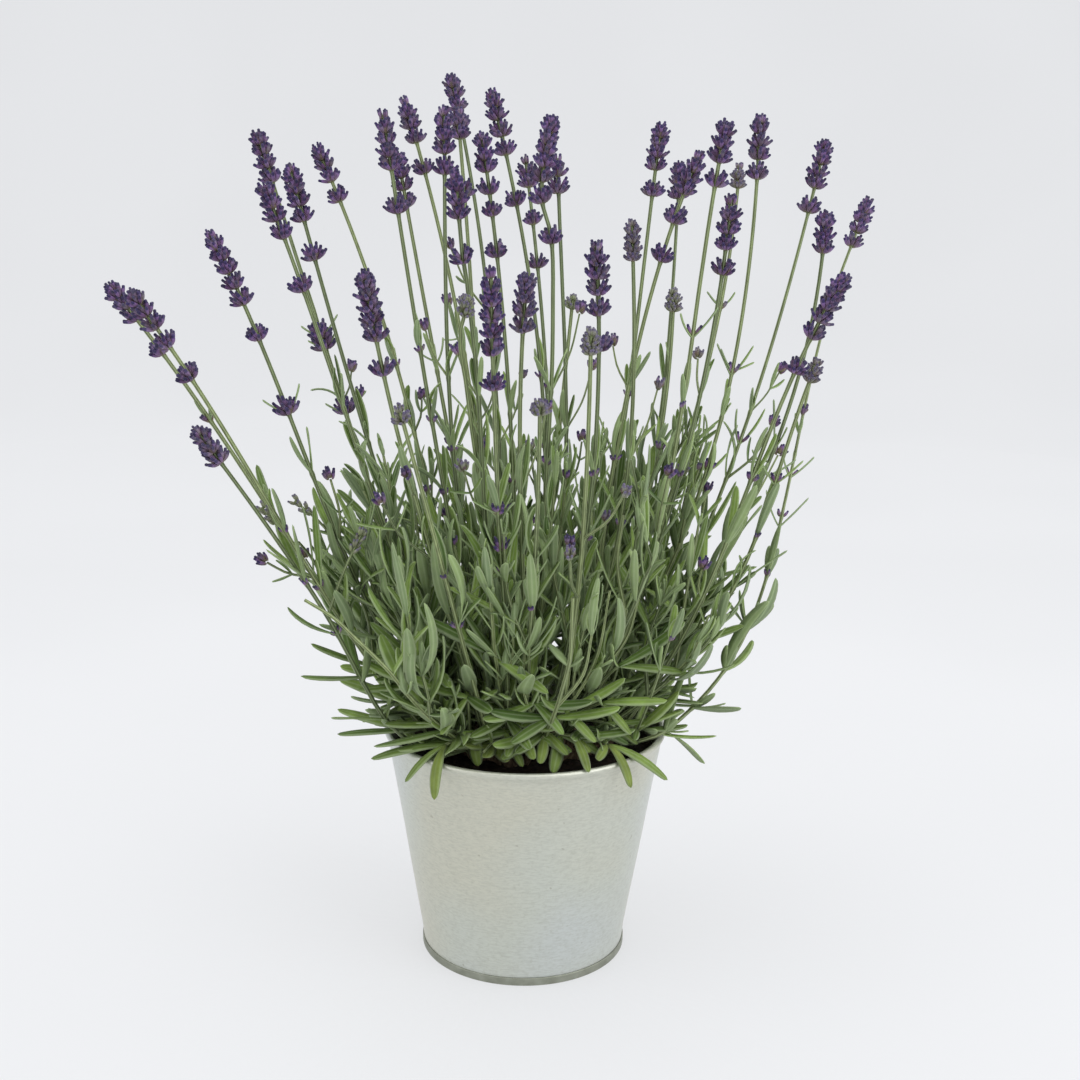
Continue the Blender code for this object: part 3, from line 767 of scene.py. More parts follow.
def add_whorl(shape, chance, foot, axis, turn, spray, size, lean, look, age, scale=True, cup=CUPPED):
    """Two opposite sprays of florets round the stalk, curving up into a bowl, each over its dry scale.

    lean is how far they spread from the stalk, in degrees."""
    for half in (0.0, math.pi):
        for share, tilt_share, step in spray:
            angle = turn + half + share * look.spray_angle / 2 + chance.gauss(0, 0.09)
            outwards = away_from(axis, angle)
            tilt = math.radians(lean * tilt_share + chance.gauss(0, 5))
            along = unit(axis * math.cos(tilt) + outwards * math.sin(tilt))
            start = foot + outwards * 0.8 * MM + axis * step * size * MM
            length = look.floret_length * size * chance.uniform(0.86, 1.1)
            radius = look.floret_width / 2 * (0.45 + 0.55 * size) * chance.uniform(0.86, 1.1)
            ripe = min(1.0, max(0.0, age + chance.gauss(0, 0.1)))
            bend = cup * tilt_share + chance.gauss(0, 0.1)
            add_floret(shape, start, along, axis, length, radius, bend, chance.random(), ripe)
        if not scale:
            continue
        outwards = away_from(axis, turn + half)
        along = unit(axis * 0.4 + outwards)
        under = foot - axis * 0.6 * MM
        length, width = SCALE_LENGTH * size, SCALE_WIDTH * size
        rings = leaf_rings(under, along, axis, length, width, 0.8, blunt=2.0, t=SCALE_PLACES)
        add_leaf(shape, rings, chance.random(), slot=SCALE)


# From a head's foot to its tip, florets get smaller and whorls closer, by these shares; florets lean less, in
# degrees; and only the lower share has full sprays.
HEAD_SHRINK = 0.26
HEAD_CROWDING = 0.42
HEAD_LEAN = 57
HEAD_RAISING = 13
FULL_SPRAYS = 0.75
# How far below the very tip the last small spray stands.
TIP_DEPTH = 4.4 * MM


def add_head(shape, chance, line, places, head, thick, look, age, gap):
    """The crowded whorls of a flower head, closer and a little smaller towards the tip."""
    turn = chance.uniform(0, math.pi)
    left = head - 0.4 * MM
    while left > TIP_DEPTH + 1.2 * MM:
        share = 1 - left / head
        foot, axis = at_distance(line, places, places[-1] - left)
        size = thick * (1.0 - HEAD_SHRINK * share**2)
        spray = SPRAY if share < FULL_SPRAYS else SMALL_SPRAY
        lean = HEAD_LEAN - HEAD_RAISING * share
        add_whorl(shape, chance, foot, axis, turn, spray, size, lean, look, age)
        turn += math.pi / 2 + chance.gauss(0, 0.15)
        left -= gap * look.whorl_spacing * (1 - HEAD_CROWDING * share) * chance.uniform(0.92, 1.08)
    foot, axis = at_distance(line, places, places[-1] - TIP_DEPTH)
    add_whorl(shape, chance, foot, axis, turn, TIP_SPRAY, 0.74 * thick, 30, look, age, scale=False)


def at_distance(line, places, distance):
    """Point and direction of a line at a distance along it."""
    i = int(np.clip(np.searchsorted(places, distance), 1, len(line) - 1))
    t = (distance - places[i - 1]) / (places[i] - places[i - 1])
    return line[i - 1] * (1 - t) + line[i] * t, unit(line[i] - line[i - 1])


def at_height(line, places, height):
    """Point and direction of a line where it reaches a height above the rim, in mm."""
    return at_distance(line, places, float(np.interp(RIM_TOP + height * MM, line[:, 2], places)))


# Rings of a long stalk: how far apart they stand, their places at a node in mm, and the least gap kept.
RING_GAP = 6.5 * MM
NODE_RINGS = (-2.2, -0.9, 0.0, 0.9, 2.2)
LEAST_GAP = 0.3 * MM
# Swelling at a node: its share of the radius and its half length.
NODE_SWELL = 0.3
NODE_LENGTH = 1.3 * MM


def stalk_stops(total, nodes):
    """Where a stalk's rings stand: evenly along it, and closer at its nodes."""
    stops = set(np.linspace(0.0, total, max(4, int(total / RING_GAP))))
    for node in nodes:
        stops |= {node + offset * MM for offset in NODE_RINGS}
    stops = np.array(sorted(stop for stop in stops if 0.0 <= stop <= total))
    return stops[np.concatenate([[True], np.diff(stops) > LEAST_GAP])]


def add_jointed_stalk(shape, line, places, thick, thin, nodes, tint):
    """A stalk that tapers from thick to thin, with a slight swelling at each node."""
    stops = stalk_stops(places[-1], nodes)
    points = np.stack([np.interp(stops, places, line[:, axis]) for axis in range(3)], axis=-1)
    swell = sum(np.exp(-(((stops - node) / NODE_LENGTH) ** 2)) for node in nodes)
    radii = np.interp(stops, [0.0, places[-1]], [thick, thin]) * (1 + NODE_SWELL * swell)
    add_stalk(shape, points, radii, tint)


def add_bowed_stalk(shape, chance, foot, end, bow, step, thick, thin, tint_from=0.0):
    """A thin stalk from foot to end, its middle pushed out by bow; returns its line and the distances."""
    line, places = smooth_line([foot, (foot + end) / 2 + bow, end], step)
    add_stalk(shape, line, np.linspace(thick, thin, len(line)) * MM, chance.uniform(tint_from, 1.0))
    return line, places


def add_sprig(shape, chance, foot, axis, outwards, look, age, length):
    """A thin late side stem, curving upwards, with small buds and thin leaves."""
    end = foot + unit(axis + outwards * chance.uniform(0.35, 0.8)) * length
    bow = outwards * 0.1 * length
    line, places = add_bowed_stalk(shape, chance, foot, end, bow, 4 * MM, 0.55, 0.42)
    tip, direction = at_distance(line, places, places[-1])
    turn = chance.uniform(0, 3)
    add_whorl(shape, chance, tip, direction, turn, BUD_PAIR, 0.85, 42, look, age, scale=False)
    above = tip + direction * 1.6 * MM
    add_whorl(shape, chance, above, direction, turn + 1.6, BUD_PAIR, 0.72, 22, look, age)
    if chance.random() < 0.6:
        foot, direction = at_distance(line, places, places[-1] * chance.uniform(0.35, 0.7))
        add_bracts(shape, chance, foot, direction, turn, chance.uniform(9, 16) * MM, 1.8 * MM)


# A spike of unopened florets: its length and how far apart its pairs stand.
SPIKE_LENGTH = 9 * MM
SPIKE_SPACING = 2.6 * MM


def add_spike(shape, chance, foot, look, reach):
    """A thin stalk that ends in a small pale spike of unopened florets."""
    end = foot + reach
    bow = SKYWARD * 0.06 * np.linalg.norm(reach)
    line, places = add_bowed_stalk(shape, chance, foot, end, bow, 4 * MM, 0.6, 0.45)
    place = places[-1] - SPIKE_LENGTH
    turn = chance.uniform(0, 3)
    while place <= places[-1]:
        foot, axis = at_distance(line, places, place)
        add_whorl(shape, chance, foot, axis, turn, BUD_PAIR, 0.62, 40, look, 0.15, scale=False)
        turn += math.pi / 2
        place += SPIKE_SPACING


def add_bracts(shape, chance, foot, axis, turn, length, width, rise=0.8):
    """Two thin opposite leaves, curving up; rise is how steeply they start."""
    for half in (0.0, math.pi):
        angle = turn + half + chance.gauss(0, 0.15)
        outwards = away_from(axis, angle)
        along = unit(axis * rise * chance.uniform(0.6, 1.4) + outwards)
        bend = chance.uniform(0.0, 0.6)
        rings = leaf_rings(foot, along, axis, length * chance.uniform(0.8, 1.15), width, bend, blunt=2.2)
        if inside_box(rings):
            add_leaf(shape, rings, chance.random())


def add_knot(shape, chance, foot, axis, turn):
    """A pair of broad young leaves, still pale with down and curled round the stalk."""
    for half, length, width in ((0.0, 13, 5.6), (math.pi, 9, 4.6)):
        outwards = away_from(axis, turn + half)
        along = unit(axis * 1.6 + outwards)
        rings = leaf_rings(foot, along, axis, length * MM, width * MM, chance.uniform(-0.9, 0.5), blunt=3.0)
        add_leaf(shape, rings, 1.0, under=np.ones(len(LEAF_SECTION)))


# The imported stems: where a tube is this much wider than its stalk, it stands for a whorl or the head, which
# starts this far below the wide ring; and the radius of a full one.
COLLAR = 1.15
COLLAR_RISE = 1.2 * MM
FULL_RADIUS = 4 * MM


def stem_line(node):
    """Smooth centre line of a flower stem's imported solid, and where its whorls and its head stand."""
    rings = tube_rings(node)
    line, places = smooth_line([centre for centre, _ in rings], 2.5 * MM)
    gaps = [np.linalg.norm(b[0] - a[0]) for a, b in zip(rings, rings[1:])]
    along = np.concatenate([[0.0], np.cumsum(gaps)])
    thin = rings[0][1]
    wide = [k for k, (_, radius) in enumerate(rings) if radius > COLLAR * thin]
    base = max(k for k in range(len(rings) - 1) if k not in wide)
    head = along[-1] - along[base] - COLLAR_RISE
    full = rings[base + 1][1] > FULL_RADIUS
    whorls = [(along[k] - COLLAR_RISE, rings[k][1] > FULL_RADIUS) for k in wide if k < base]
    return line, places, head, full, whorls


# How far the florets have coloured on stems that aren't fully out, from 0, green, to 1.
HALF_OUT = {22: 0.8, 23: 0.12, 24: 0.12, 26: 0.3, 27: 0.65, 33: 0.55, 39: 0.25, 40: 0.55}
HALF_OUT |= {41: 0.8, 42: 0.35, 43: 0.3}
# The share of a stem that carries leaves, and how often sprigs, buds and side stalks stand in their axils.
LEAFY_SHARE = 0.64
SPRIG_CHANCE = 0.42
BUD_CHANCE = 0.3
SIDE_STALK_CHANCE = 0.26
# Whorls this far below the tip, in mm, and further, stand over two thin leaves.
BRACTED = 60
# How far, in mm, the leaves of flower stems may stand out of the bush.
STEM_SLACK = 26
# Stems whose farthest whorl is as full as the others.
FULL_BELOW = (3, 4)
# How slim a slim head is against a full one, and how close its whorls sit.
SLIM = 0.74
SLIM_GAP = 0.7
# Stems whose heads show stalk between the whorls.
LOOSE_HEADS = {1: 1.15, 2: 1.15, 3: 1.25, 21: 1.12}
# Heights above the rim, in mm, at which stems carry a knot of broad pale leaves.
KNOTS = {21: (58, 82), 26: (40,), 43: (47,)}
# Thin side stalks with a pale spike: stem, height above the rim, and the way to its tip, all in mm.
SPIKES = {2: ((72, (-22, -4, 34)),), 3: ((66, (-14, 4, 26)), (84, (-20, 2, 20))), 41: ((60, (14, 6, 34)),)}
# Pairs of leaves with buds in their axils: stem; height above the rim, length and width in mm; the buds; and
# their size.
AXIL_BUD = ((0.0, 1.0, 0.0),)
FORKS = {
    21: ((92, 17, 4.4, SMALL_SPRAY, 1.0),),
    37: ((83, 24, 3.6, (), 0.0), (104, 16, 2.4, AXIL_BUD, 0.7)),
    32: ((154, 17, 1.9, AXIL_BUD, 1.0), (112, 15, 2.4, BUD_PAIR, 0.8)),
    35: ((121, 19, 2.0, AXIL_BUD, 1.0),),
    31: ((175, 14, 1.8, AXIL_BUD, 0.9),),
    40: ((112, 18, 3.0, BUD_PAIR, 0.7),),
}


def add_stem_leaves(shape, chance, line, places, look, leaves, age, turn):
    """Leaf pairs up the leafy part of a stem, with side stalks, sprigs and buds in their axils."""
    total = places[-1]
    place = chance.uniform(8, 16) * MM
    nodes = []
    while place < LEAFY_SHARE * total:
        nodes.append(place)
        place += chance.uniform(13, 18) * MM + 12 * MM * min(1.3, place / (90 * MM))
    for place in nodes:
        foot, axis = at_distance(line, places, place)
        share = place / (LEAFY_SHARE * total)
        outwards = away_from(axis, turn)
        habit = {"axil": 0.6 - 0.55 * share, "lift": 0.4 * (1 - share), "slack": STEM_SLACK * MM}
        add_leaf_pair(shape, chance, foot, axis, turn, leaves, 0.95, **habit)
        luck = chance.random()
        if share < 0.6 and luck < SIDE_STALK_CHANCE:
            add_side_stalk(shape, chance, foot, axis, outwards, look, leaves)
        elif share > 0.4 and luck < SPRIG_CHANCE:
            add_sprig(shape, chance, foot, axis, outwards, look, age, chance.uniform(14, 36) * MM)
        elif share > 0.5 and luck < SPRIG_CHANCE + BUD_CHANCE:
            add_whorl(shape, chance, foot, axis, turn, BUD_PAIR, 0.62, 50, look, 0.9, scale=False)
        turn += math.pi / 2
    return nodes, turn


# In mm: the highest that side stalks reach, how long they are, and how far they may stand out of the bush.
SIDE_STALK_TOP = 125
SIDE_STALK_LENGTHS = (36, 78)
SIDE_STALK_SLACK = 4


def add_side_stalk(shape, chance, foot, axis, outwards, look, leaves):
    """A thin stalk that rises beside its stem, with leaves held close and a tuft or two buds at its end."""
    length = chance.uniform(*SIDE_STALK_LENGTHS) * MM
    length = min(length, RIM_TOP + SIDE_STALK_TOP * MM - foot[2])
    if length < 16 * MM:
        return
    for lean in (1.0, 0.25):
        aim = unit(axis * lean + outwards * chance.uniform(0.15, 0.4) + SKYWARD * (1.15 - lean))
        end = foot + aim * length
        if inside_bush(end, SIDE_STALK_SLACK * MM):
            break
    else:
        return
    bow = outwards * 0.07 * length
    line, places = add_bowed_stalk(shape, chance, foot, end, bow, 5 * MM, 0.75, 0.5, tint_from=0.3)
    slack = STEM_SLACK * MM
    turn = chance.uniform(0, math.pi)
    place = chance.uniform(9, 14) * MM
    while place < places[-1] - 5 * MM:
        spot, direction = at_distance(line, places, place)
        add_leaf_pair(shape, chance, spot, direction, turn, leaves, 0.8, axil=0.3, slack=slack)
        turn += math.pi / 2
        place += chance.uniform(14, 21) * MM
    tip, direction = at_distance(line, places, places[-1])
    add_leaf_pair(shape, chance, tip, direction, turn, leaves, 0.5, axil=0.6, slack=slack)
    if chance.random() < BUD_CHANCE:
        add_whorl(shape, chance, tip, direction, turn, BUD_PAIR, 0.7, 36, look, 0.85, scale=False)


def flower_stem(node, index, look, leaves):
    """One flower stem: stalk, leaves, lower whorls and head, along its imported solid."""
    chance = random.Random(look.seed * 1000 + index)
    shape = Shape()
    line, places, head, full, whorls = stem_line(node)
    total = places[-1]
    age = HALF_OUT.get(index, chance.uniform(0.88, 1.0))
    thick = 1.0 if full else SLIM
    turn = chance.uniform(0, math.pi)
    nodes, turn = add_stem_leaves(shape, chance, line, places, look, leaves, age, turn)
    width = look.stalk_width / 2
    inside = places < total - 2 * MM
    swellings = nodes + [place for place, _ in whorls]
    stalk = line[inside], places[inside]
    add_jointed_stalk(shape, *stalk, 1.05 * width, 0.82 * width, swellings, chance.random())
    for height in KNOTS.get(index, ()):
        foot, axis = at_height(line, places, height)
        add_knot(shape, chance, foot, axis, chance.uniform(-0.6, 0.6))
    for height, length, wide, buds, size in FORKS.get(index, ()):
        foot, axis = at_height(line, places, height)
        add_bracts(shape, chance, foot, axis, 0.2, length * MM, wide * MM, rise=1.2)
        above = foot + axis * 1.5 * MM
        add_whorl(shape, chance, above, axis, 0.2, buds, size, 46, look, 1.0, scale=False)
    for height, way in SPIKES.get(index, ()):
        foot, _ = at_height(line, places, height)
        add_spike(shape, chance, foot, look, np.array(way) * MM)

    for place, big in whorls:
        foot, axis = at_distance(line, places, place)
        far = total - place > BRACTED * MM
        if big or far and index in FULL_BELOW:
            size = thick * chance.uniform(0.96, 1.08) * (1.15 if far else 1.0)
            add_whorl(shape, chance, foot, axis, turn, SPRAY, size, 62, look, age, cup=0.6)
        else:
            add_whorl(shape, chance, foot, axis, turn, BUD_PAIR, 0.7, 46, look, age)
        if far:
            add_bracts(shape, chance, foot, axis, 0.3, chance.uniform(9, 15) * MM, 2.0 * MM)
        turn += math.pi / 2
    gap = LOOSE_HEADS.get(index, 1.0) if full else SLIM_GAP
    add_head(shape, chance, line, places, head, thick, look, age, gap)
    return shape


def add_leafy_axis(shape, chance, line, places, spacing, leaves):
    """Leaf pairs along a shoot, and a tuft of young leaves at its end."""
    total = places[-1]
    turn = chance.uniform(0, math.pi)
    place = BARE_SHARE * total
    while place < total:
        foot, axis = at_distance(line, places, place)
        lift = leaves.lift * (1 - habit_at(foot)[3])
        add_leaf_pair(shape, chance, foot, axis, turn, leaves, axil=0.38, lift=lift)
        turn += math.pi / 2
        place += spacing * chance.uniform(0.85, 1.15)
    tip, axis = at_distance(line, places, total)
    for size in (0.7, 0.45):
        add_leaf_pair(shape, chance, tip, axis, turn, leaves, size, axil=0.3, lift=1.5 * leaves.lift)
        turn += math.pi / 2


def add_twig(shape, chance, foot, end, bow, leaves, spacing):
    """A side twig with its leaves."""
    line, places = add_bowed_stalk(shape, chance, foot, end, bow, 4 * MM, 0.8, 0.5)
    add_leafy_axis(shape, chance, line, places, spacing, leaves)


# Twigs that end at the rim, with their single leaves: the twig's end and each leaf's tip stand at a compass
# angle, a reach and a height above the rim in mm; then each leaf's width in mm, curl and age.
RIM_TWIGS = (
    ((232, 54, 5), (239, 73, -16, 5.4, -1.25, 1), (226, 72, -7, 3.8, -1, 0.5), (211, 76, -2, 4.6, -0.6, 0.3)),
    ((205, 55, 4), (195, 84, 2, 4.4, -0.3, 0.1), (187, 83, 9, 4.6, -0.2, 0.2), (212, 71, 14, 3.8, 0.3, 0.2)),
    ((250, 40, 3), (252, 53, 3, 6.2, -0.5, 0.9), (262, 50, 1, 5, -0.4, 0.9), (240, 51, 6, 4.6, 0.2, 0.8)),
    ((258, 36, 14), (246, 55, 12, 5, -0.4, 0.1), (272, 56, 9, 5.2, -0.5, 0.2), (286, 48, 14, 5, 0.3, 0.1)),
    ((266, 34, 9), (262, 54, 5, 5, -0.6, 0.4), (274, 52, 3, 5.2, -0.4, 0.6), (244, 50, 9, 4.4, -0.3, 0.2)),
    ((285, 45, 18), (254, 53, 23, 5.8, 0.3, 0), (311, 60, 23, 5.2, 0.3, 0), (264, 55, 11, 5.2, -0.5, 0.2)),
    ((292, 44, 20), (302, 56, 9, 5.2, -0.5, 0.3), (318, 56, 33, 5, 0.4, 0.1), (276, 55, 31, 4.8, 0.5, 0.1)),
    ((250, 46, 46), (232, 66, 63, 6, -0.3, 0), (280, 54, 32, 5.4, -0.4, 0.1), (262, 60, 66, 4.8, 0.5, 0.1)),
    ((240, 48, 26), (222, 66, 36, 5.6, 0.3, 0.1), (256, 58, 25, 5.4, -0.3, 0.1), (234, 60, 12, 5, -0.5, 0.3)),
    ((318, 52, 38), (330, 76, 58, 5.4, 0.4, 0), (304, 62, 52, 5, 0.4, 0.1), (337, 74, 34, 5, -0.3, 0.1)),
    ((312, 48, 22), (328, 70, 24, 5.4, -0.3, 0.1), (300, 60, 30, 5, 0.3, 0), (316, 62, 11, 5, -0.5, 0.3)),
    ((218, 54, 28), (209, 78, 40, 5.2, 0.3, 0), (236, 66, 44, 5, 0.4, 0.1), (203, 77, 25, 5, -0.3, 0.1)),
    ((283, 38, 9), (277, 52, 1, 5.4, -0.5, 0.6), (290, 52, 4, 5, -0.6, 0.5), (266, 53, 6, 4.8, -0.4, 0.3)),
    ((296, 46, 9), (294, 65, 1, 4.6, -0.9, 0.7), (302, 52, 3, 4.6, -0.5, 0.6), (318, 62, 12, 4.2, 0.2, 0.2)),
    ((311, 53, 5), (309, 71, -7, 5, -1.3, 1), (324, 75, -8, 5.2, -0.9, 0.3), (300, 60, 3, 4.4, -0.5, 0.8)),
    ((338, 55, 5), (348, 85, 0, 2.2, 0.5, 0.2), (345, 73, 6, 3.8, 0.2, 0.3), (327, 66, 10, 4.4, 0.3, 0.1)),
    ((186, 54, 12), (181, 80, 20, 4.2, 0.3, 0.1), (196, 78, 18, 4.6, 0.4, 0.2), (174, 68, 26, 3.6, 0.3, 0.2)),
    ((4, 54, 10), (6, 78, 16, 3.6, 0.4, 0.1), (352, 76, 12, 4.2, 0.2, 0.2), (18, 72, 14, 4, 0.3, 0.3)),
    ((238, 40, 8), (227, 52, 0, 5, -0.9, 0.3), (246, 49, -3, 6.4, -1.3, 0.6), (222, 52, 7, 4.6, 0.4, 0.1)),
    ((256, 38, 10), (235, 51, 4, 5, -0.3, 0.1), (269, 48, -2, 4.4, -0.6, 0.4), (240, 52, 11, 5.2, 0.5, 0)),
    ((276, 39, 9), (259, 51, 2, 5.4, -0.4, 0.2), (293, 50, 4, 4.6, -0.3, 0.1), (256, 55, 9, 5.8, 0.2, 0.1)),
    ((292, 40, 8), (283, 53, -3, 6.2, -0.8, 0.4), (308, 52, 2, 5.4, -1, 0.2), (310, 54, 9, 5.2, 0.4, 0)),
    ((308, 42, 10), (324, 55, 3, 5.6, -0.8, 0.1), (292, 52, 10, 4.8, 0.3, 0)),
    ((324, 42, 9), (333, 55, 0, 5, -0.7, 0.3), (340, 60, 9, 4.4, 0.3, 0.1)),
    ((275, 42, 24), (252, 56, 20, 5.8, 0.5, 0), (299, 57, 27, 5.2, 0.5, 0), (288, 52, 13, 5, -0.8, 0)),
    ((70, 54, 5), (74, 75, -4, 5, -0.9, 0.8), (52, 76, 6, 4.6, 0.2, 0.3), (90, 74, 8, 4.4, 0.3, 0.2)),
    ((118, 54, 5), (118, 74, -5, 5, -1, 0.9), (102, 76, 8, 4.4, 0.2, 0.2), (136, 76, 6, 4.4, 0.2, 0.2)),
)


def around(compass, reach, height):
    """A place from its compass angle, anticlockwise from +X, its reach and its height above the rim in mm."""
    turn = math.radians(compass)
    return np.array([reach * math.cos(turn) * MM, reach * math.sin(turn) * MM, RIM_TOP + height * MM])


def hung_leaf(foot, tip, width, curl):
    """Rings of a leaf that leaves its foot so that, once curled, it ends near tip."""
    chord = unit(tip - foot)
    outwards = unit(foot * (1, 1, 0))
    side = unit(np.cross(SKYWARD + 0.8 * outwards, chord))
    up = np.cross(chord, side)
    along = chord * math.cos(curl / 2) - up * math.sin(curl / 2)
    length = np.linalg.norm(tip - foot) * (curl / 2) / math.sin(curl / 2)
    return leaf_rings(foot, along, np.cross(along, side), length, width, curl, blunt=5.0)


def add_rim_twig(shape, chance, root, twig):
    """A low twig from the crown to the rim, with its single leaves, raised until they clear the pot."""
    end = around(*twig[0])
    add_bowed_stalk(shape, chance, root, end, SKYWARD * 4 * MM, 3 * MM, 0.9, 0.6)
    for compass, reach, height, width, curl, age in twig[1:]:
        for raised in range(0, 12, 2):
            rings = hung_leaf(end, around(compass, reach, height + raised), width * MM, curl)
            if clear_of_pot(rings):
                add_leaf(shape, rings, chance.random(), age)
                break


# Side twigs and low twigs on shoots that have more or fewer than usual, and how far apart their leaves stand.
FULLNESS = {
    1: (4, 3, 1.1),
    7: (4, 3, 1.1),
    9: (3, 2, 1.1),
    10: (2, 1, 1.4),
    11: (2, 1, 1.5),
    12: (3, 1, 1.2),
    13: (4, 3, 1.1),
}
# The highest that side twigs reach above the rim, in mm, and the turn from one to the next, in radians.
TWIG_TOP = 105
TWIG_TURN = 2.4
# Share of a shoot or twig, from its foot, that has no leaves.
BARE_SHARE = 0.1


def leafy_shoot(index, line, places, leaves, rim_twigs):
    """One shoot without flowers: stalk, side twigs and leaves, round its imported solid."""
    chance = random.Random(leaves.seed * 1000 + index)
    shape = Shape()
    total = places[-1]
    twigs, low_twigs, apart = FULLNESS.get(index, (leaves.twigs, leaves.low_twigs, 1.0))
    radii = 1.05 * MM * (1.0 - 0.45 * places / total)
    add_stalk(shape, line, radii, chance.random())
    add_leafy_axis(shape, chance, line, places, 11.5 * MM * apart, leaves)
    for k in range(twigs):
        foot, axis = at_distance(line, places, total * (0.1 + 0.6 * k / twigs))
        outwards = away_from(axis, k * TWIG_TURN + chance.uniform(-0.4, 0.4))
        reach = chance.uniform(26, 50) * MM
        reach = min(reach, RIM_TOP + TWIG_TOP * MM - foot[2])
        if reach < 15 * MM:
            continue
        end = foot + unit(axis * 0.7 + outwards * 0.45 + SKYWARD) * reach
        add_twig(shape, chance, foot, end, outwards * 0.1 * reach, leaves, 12.5 * MM)
    root = line[0]
    compass = math.atan2(root[1], root[0])
    for k in range(low_twigs):
        angle = compass + (k - (low_twigs - 1) / 2) * 0.2 + chance.uniform(-0.08, 0.08)
        outwards = np.array([math.cos(angle), math.sin(angle), 0.0])
        reach = RIM_RADIUS - chance.uniform(6, 18) * MM
        end = outwards * reach + SKYWARD * (RIM_TOP + chance.uniform(3, 14) * MM)
        add_twig(shape, chance, root, end, SKYWARD * 3 * MM, leaves, 9 * MM)
    for twig in rim_twigs:
        add_rim_twig(shape, chance, root, twig)
    return shape


def nearest(compass, roots):
    """The number, from 0, of the root that lies nearest to a compass angle."""
    aim = around(compass, 1, 0) / MM
    return max(range(len(roots)), key=lambda k: float(unit(roots[k][:2]) @ aim[:2]))


# ---------------------------------------------------------------- pot, soil and wood


# How broad the shallow dents in the pot's wall are.
DENT_SIZE = 38 * MM


def turned(shape, profile, steps=128, wobble=0.0):
    """A solid turned round Z from a closed profile of (radius, height), outer side upwards.

    wobble pushes its walls in and out by about so much, in broad dents."""
    profile = np.asarray(profile)
    turn = round_turn(steps)
    start = shape.count
    reach, height = profile.T
    parts = (np.cos(turn), reach), (np.sin(turn), reach), (np.ones(steps), height)
    points = np.stack([np.outer(*part) for part in parts], axis=-1)
    if wobble:
        for row in points.reshape(-1, 3):
            push = noise.noise(Vector(row) / DENT_SIZE) * wobble
            radius = math.hypot(row[0], row[1])
            row[:2] *= (radius + push) / radius
    here = np.arange(points.shape[0] * points.shape[1]).reshape(points.shape[:2]) + start
    there = np.roll(here, -1, axis=0)
    up_here, up_there = np.roll(here, -1, axis=1), np.roll(there, -1, axis=1)
    walls = np.stack([here, there, up_there, up_here], axis=-1).reshape(-1, 4)
    shape.faces += walls.tolist()
    shape.slots += [0] * len(walls)
    shape.points.append(points.reshape(-1, 3))
    shape.values.append(np.zeros((points.size // 3, len(VALUES))))
    shape.count += points.size // 3


def arc(centre, radius, start, end, steps):
    """Points on a circle from one angle to another, in degrees."""
    angles = np.radians(np.linspace(start, end, steps))
    return [(centre[0] + radius * math.cos(a), centre[1] + radius * math.sin(a)) for a in angles]


# Radius of the rolled rim, and how far the foot seam stands out from the wall.
BEAD = 1.3 * MM
SEAM_PROUD = 0.85 * MM


def wall_line(height):
    """Outer radius of the pot's wall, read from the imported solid's size and taper."""
    top = RIM_RADIUS - BEAD
    bottom = FOOT_RADIUS - SEAM_PROUD
    share = (height - SEAM_TOP) / (RIM_TOP - 2 * BEAD - SEAM_TOP)
    return bottom + (top - bottom) * max(0.0, share)


# How far the sheet flares out below the rolled rim: (drop below the top, offset), in mm.
RIM_FLARE = ((4.6, 0.06), (3.9, 0.22), (3.2, 0.5), (2.5, 0.85), (2.0, 1.1))


def pot_wall(sheet):
    """The tapered sheet, its rolled rim, and the lapped joint up its back."""
    shape = Shape()
    low = 0.9 * MM
    outside = [(wall_line(z), z) for z in np.linspace(low, RIM_TOP - 5.5 * MM, 11)]
    flare = [(wall_line(RIM_TOP - drop * MM) + out * MM, RIM_TOP - drop * MM) for drop, out in RIM_FLARE]
    curl = arc((RIM_RADIUS - BEAD, RIM_TOP - BEAD), BEAD, -18, 160, 11)
    inside = [(wall_line(z) - sheet, z) for z in np.linspace(RIM_TOP - 1.7 * MM, low, 11)]
    turned(shape, outside + flare + curl + inside, wobble=0.25 * MM)
    add_lap(shape)
    return shape


# Section of the lapped joint: (share of its half width, share of its height over the wall).
LAP_SECTION = ((-1, -0.3), (1, -0.3), (1, 0.6), (0.86, 1.0), (-0.86, 1.0), (-1, 0.6))
LAP_HALF_WIDTH = 3.2 * MM
LAP_PROUD = 0.45 * MM


def add_lap(shape):
    """The joint where the sheet's two edges lap: a narrow raised strip up the back."""
    rings = []
    for z in np.linspace(SEAM_TOP + 0.3 * MM, RIM_TOP - 3.2 * MM, 30):
        reach = wall_line(z)
        ring = []
        for across, out in LAP_SECTION:
            angle = math.pi / 2 - across * LAP_HALF_WIDTH / reach
            distance = reach + out * LAP_PROUD
            ring.append((distance * math.cos(angle), distance * math.sin(angle), z))
        rings.append(ring)
    rings = np.array(rings)
    shape.loft(rings, 0, np.linspace(0, 1, len(rings)), np.zeros(6), 0.5)


# The bottom disc near its edge, below and above: (step out from the foot ring's inside, height), in mm.
DISC_BELOW = ((-6, 2.5), (-3, 2.9), (-0.6, 2.4), (0, 1.8), (0, 0.35))
DISC_ABOVE = ((0.5, 0.8), (0.45, 2.9), (-3, 3.4), (-6, 3.0))


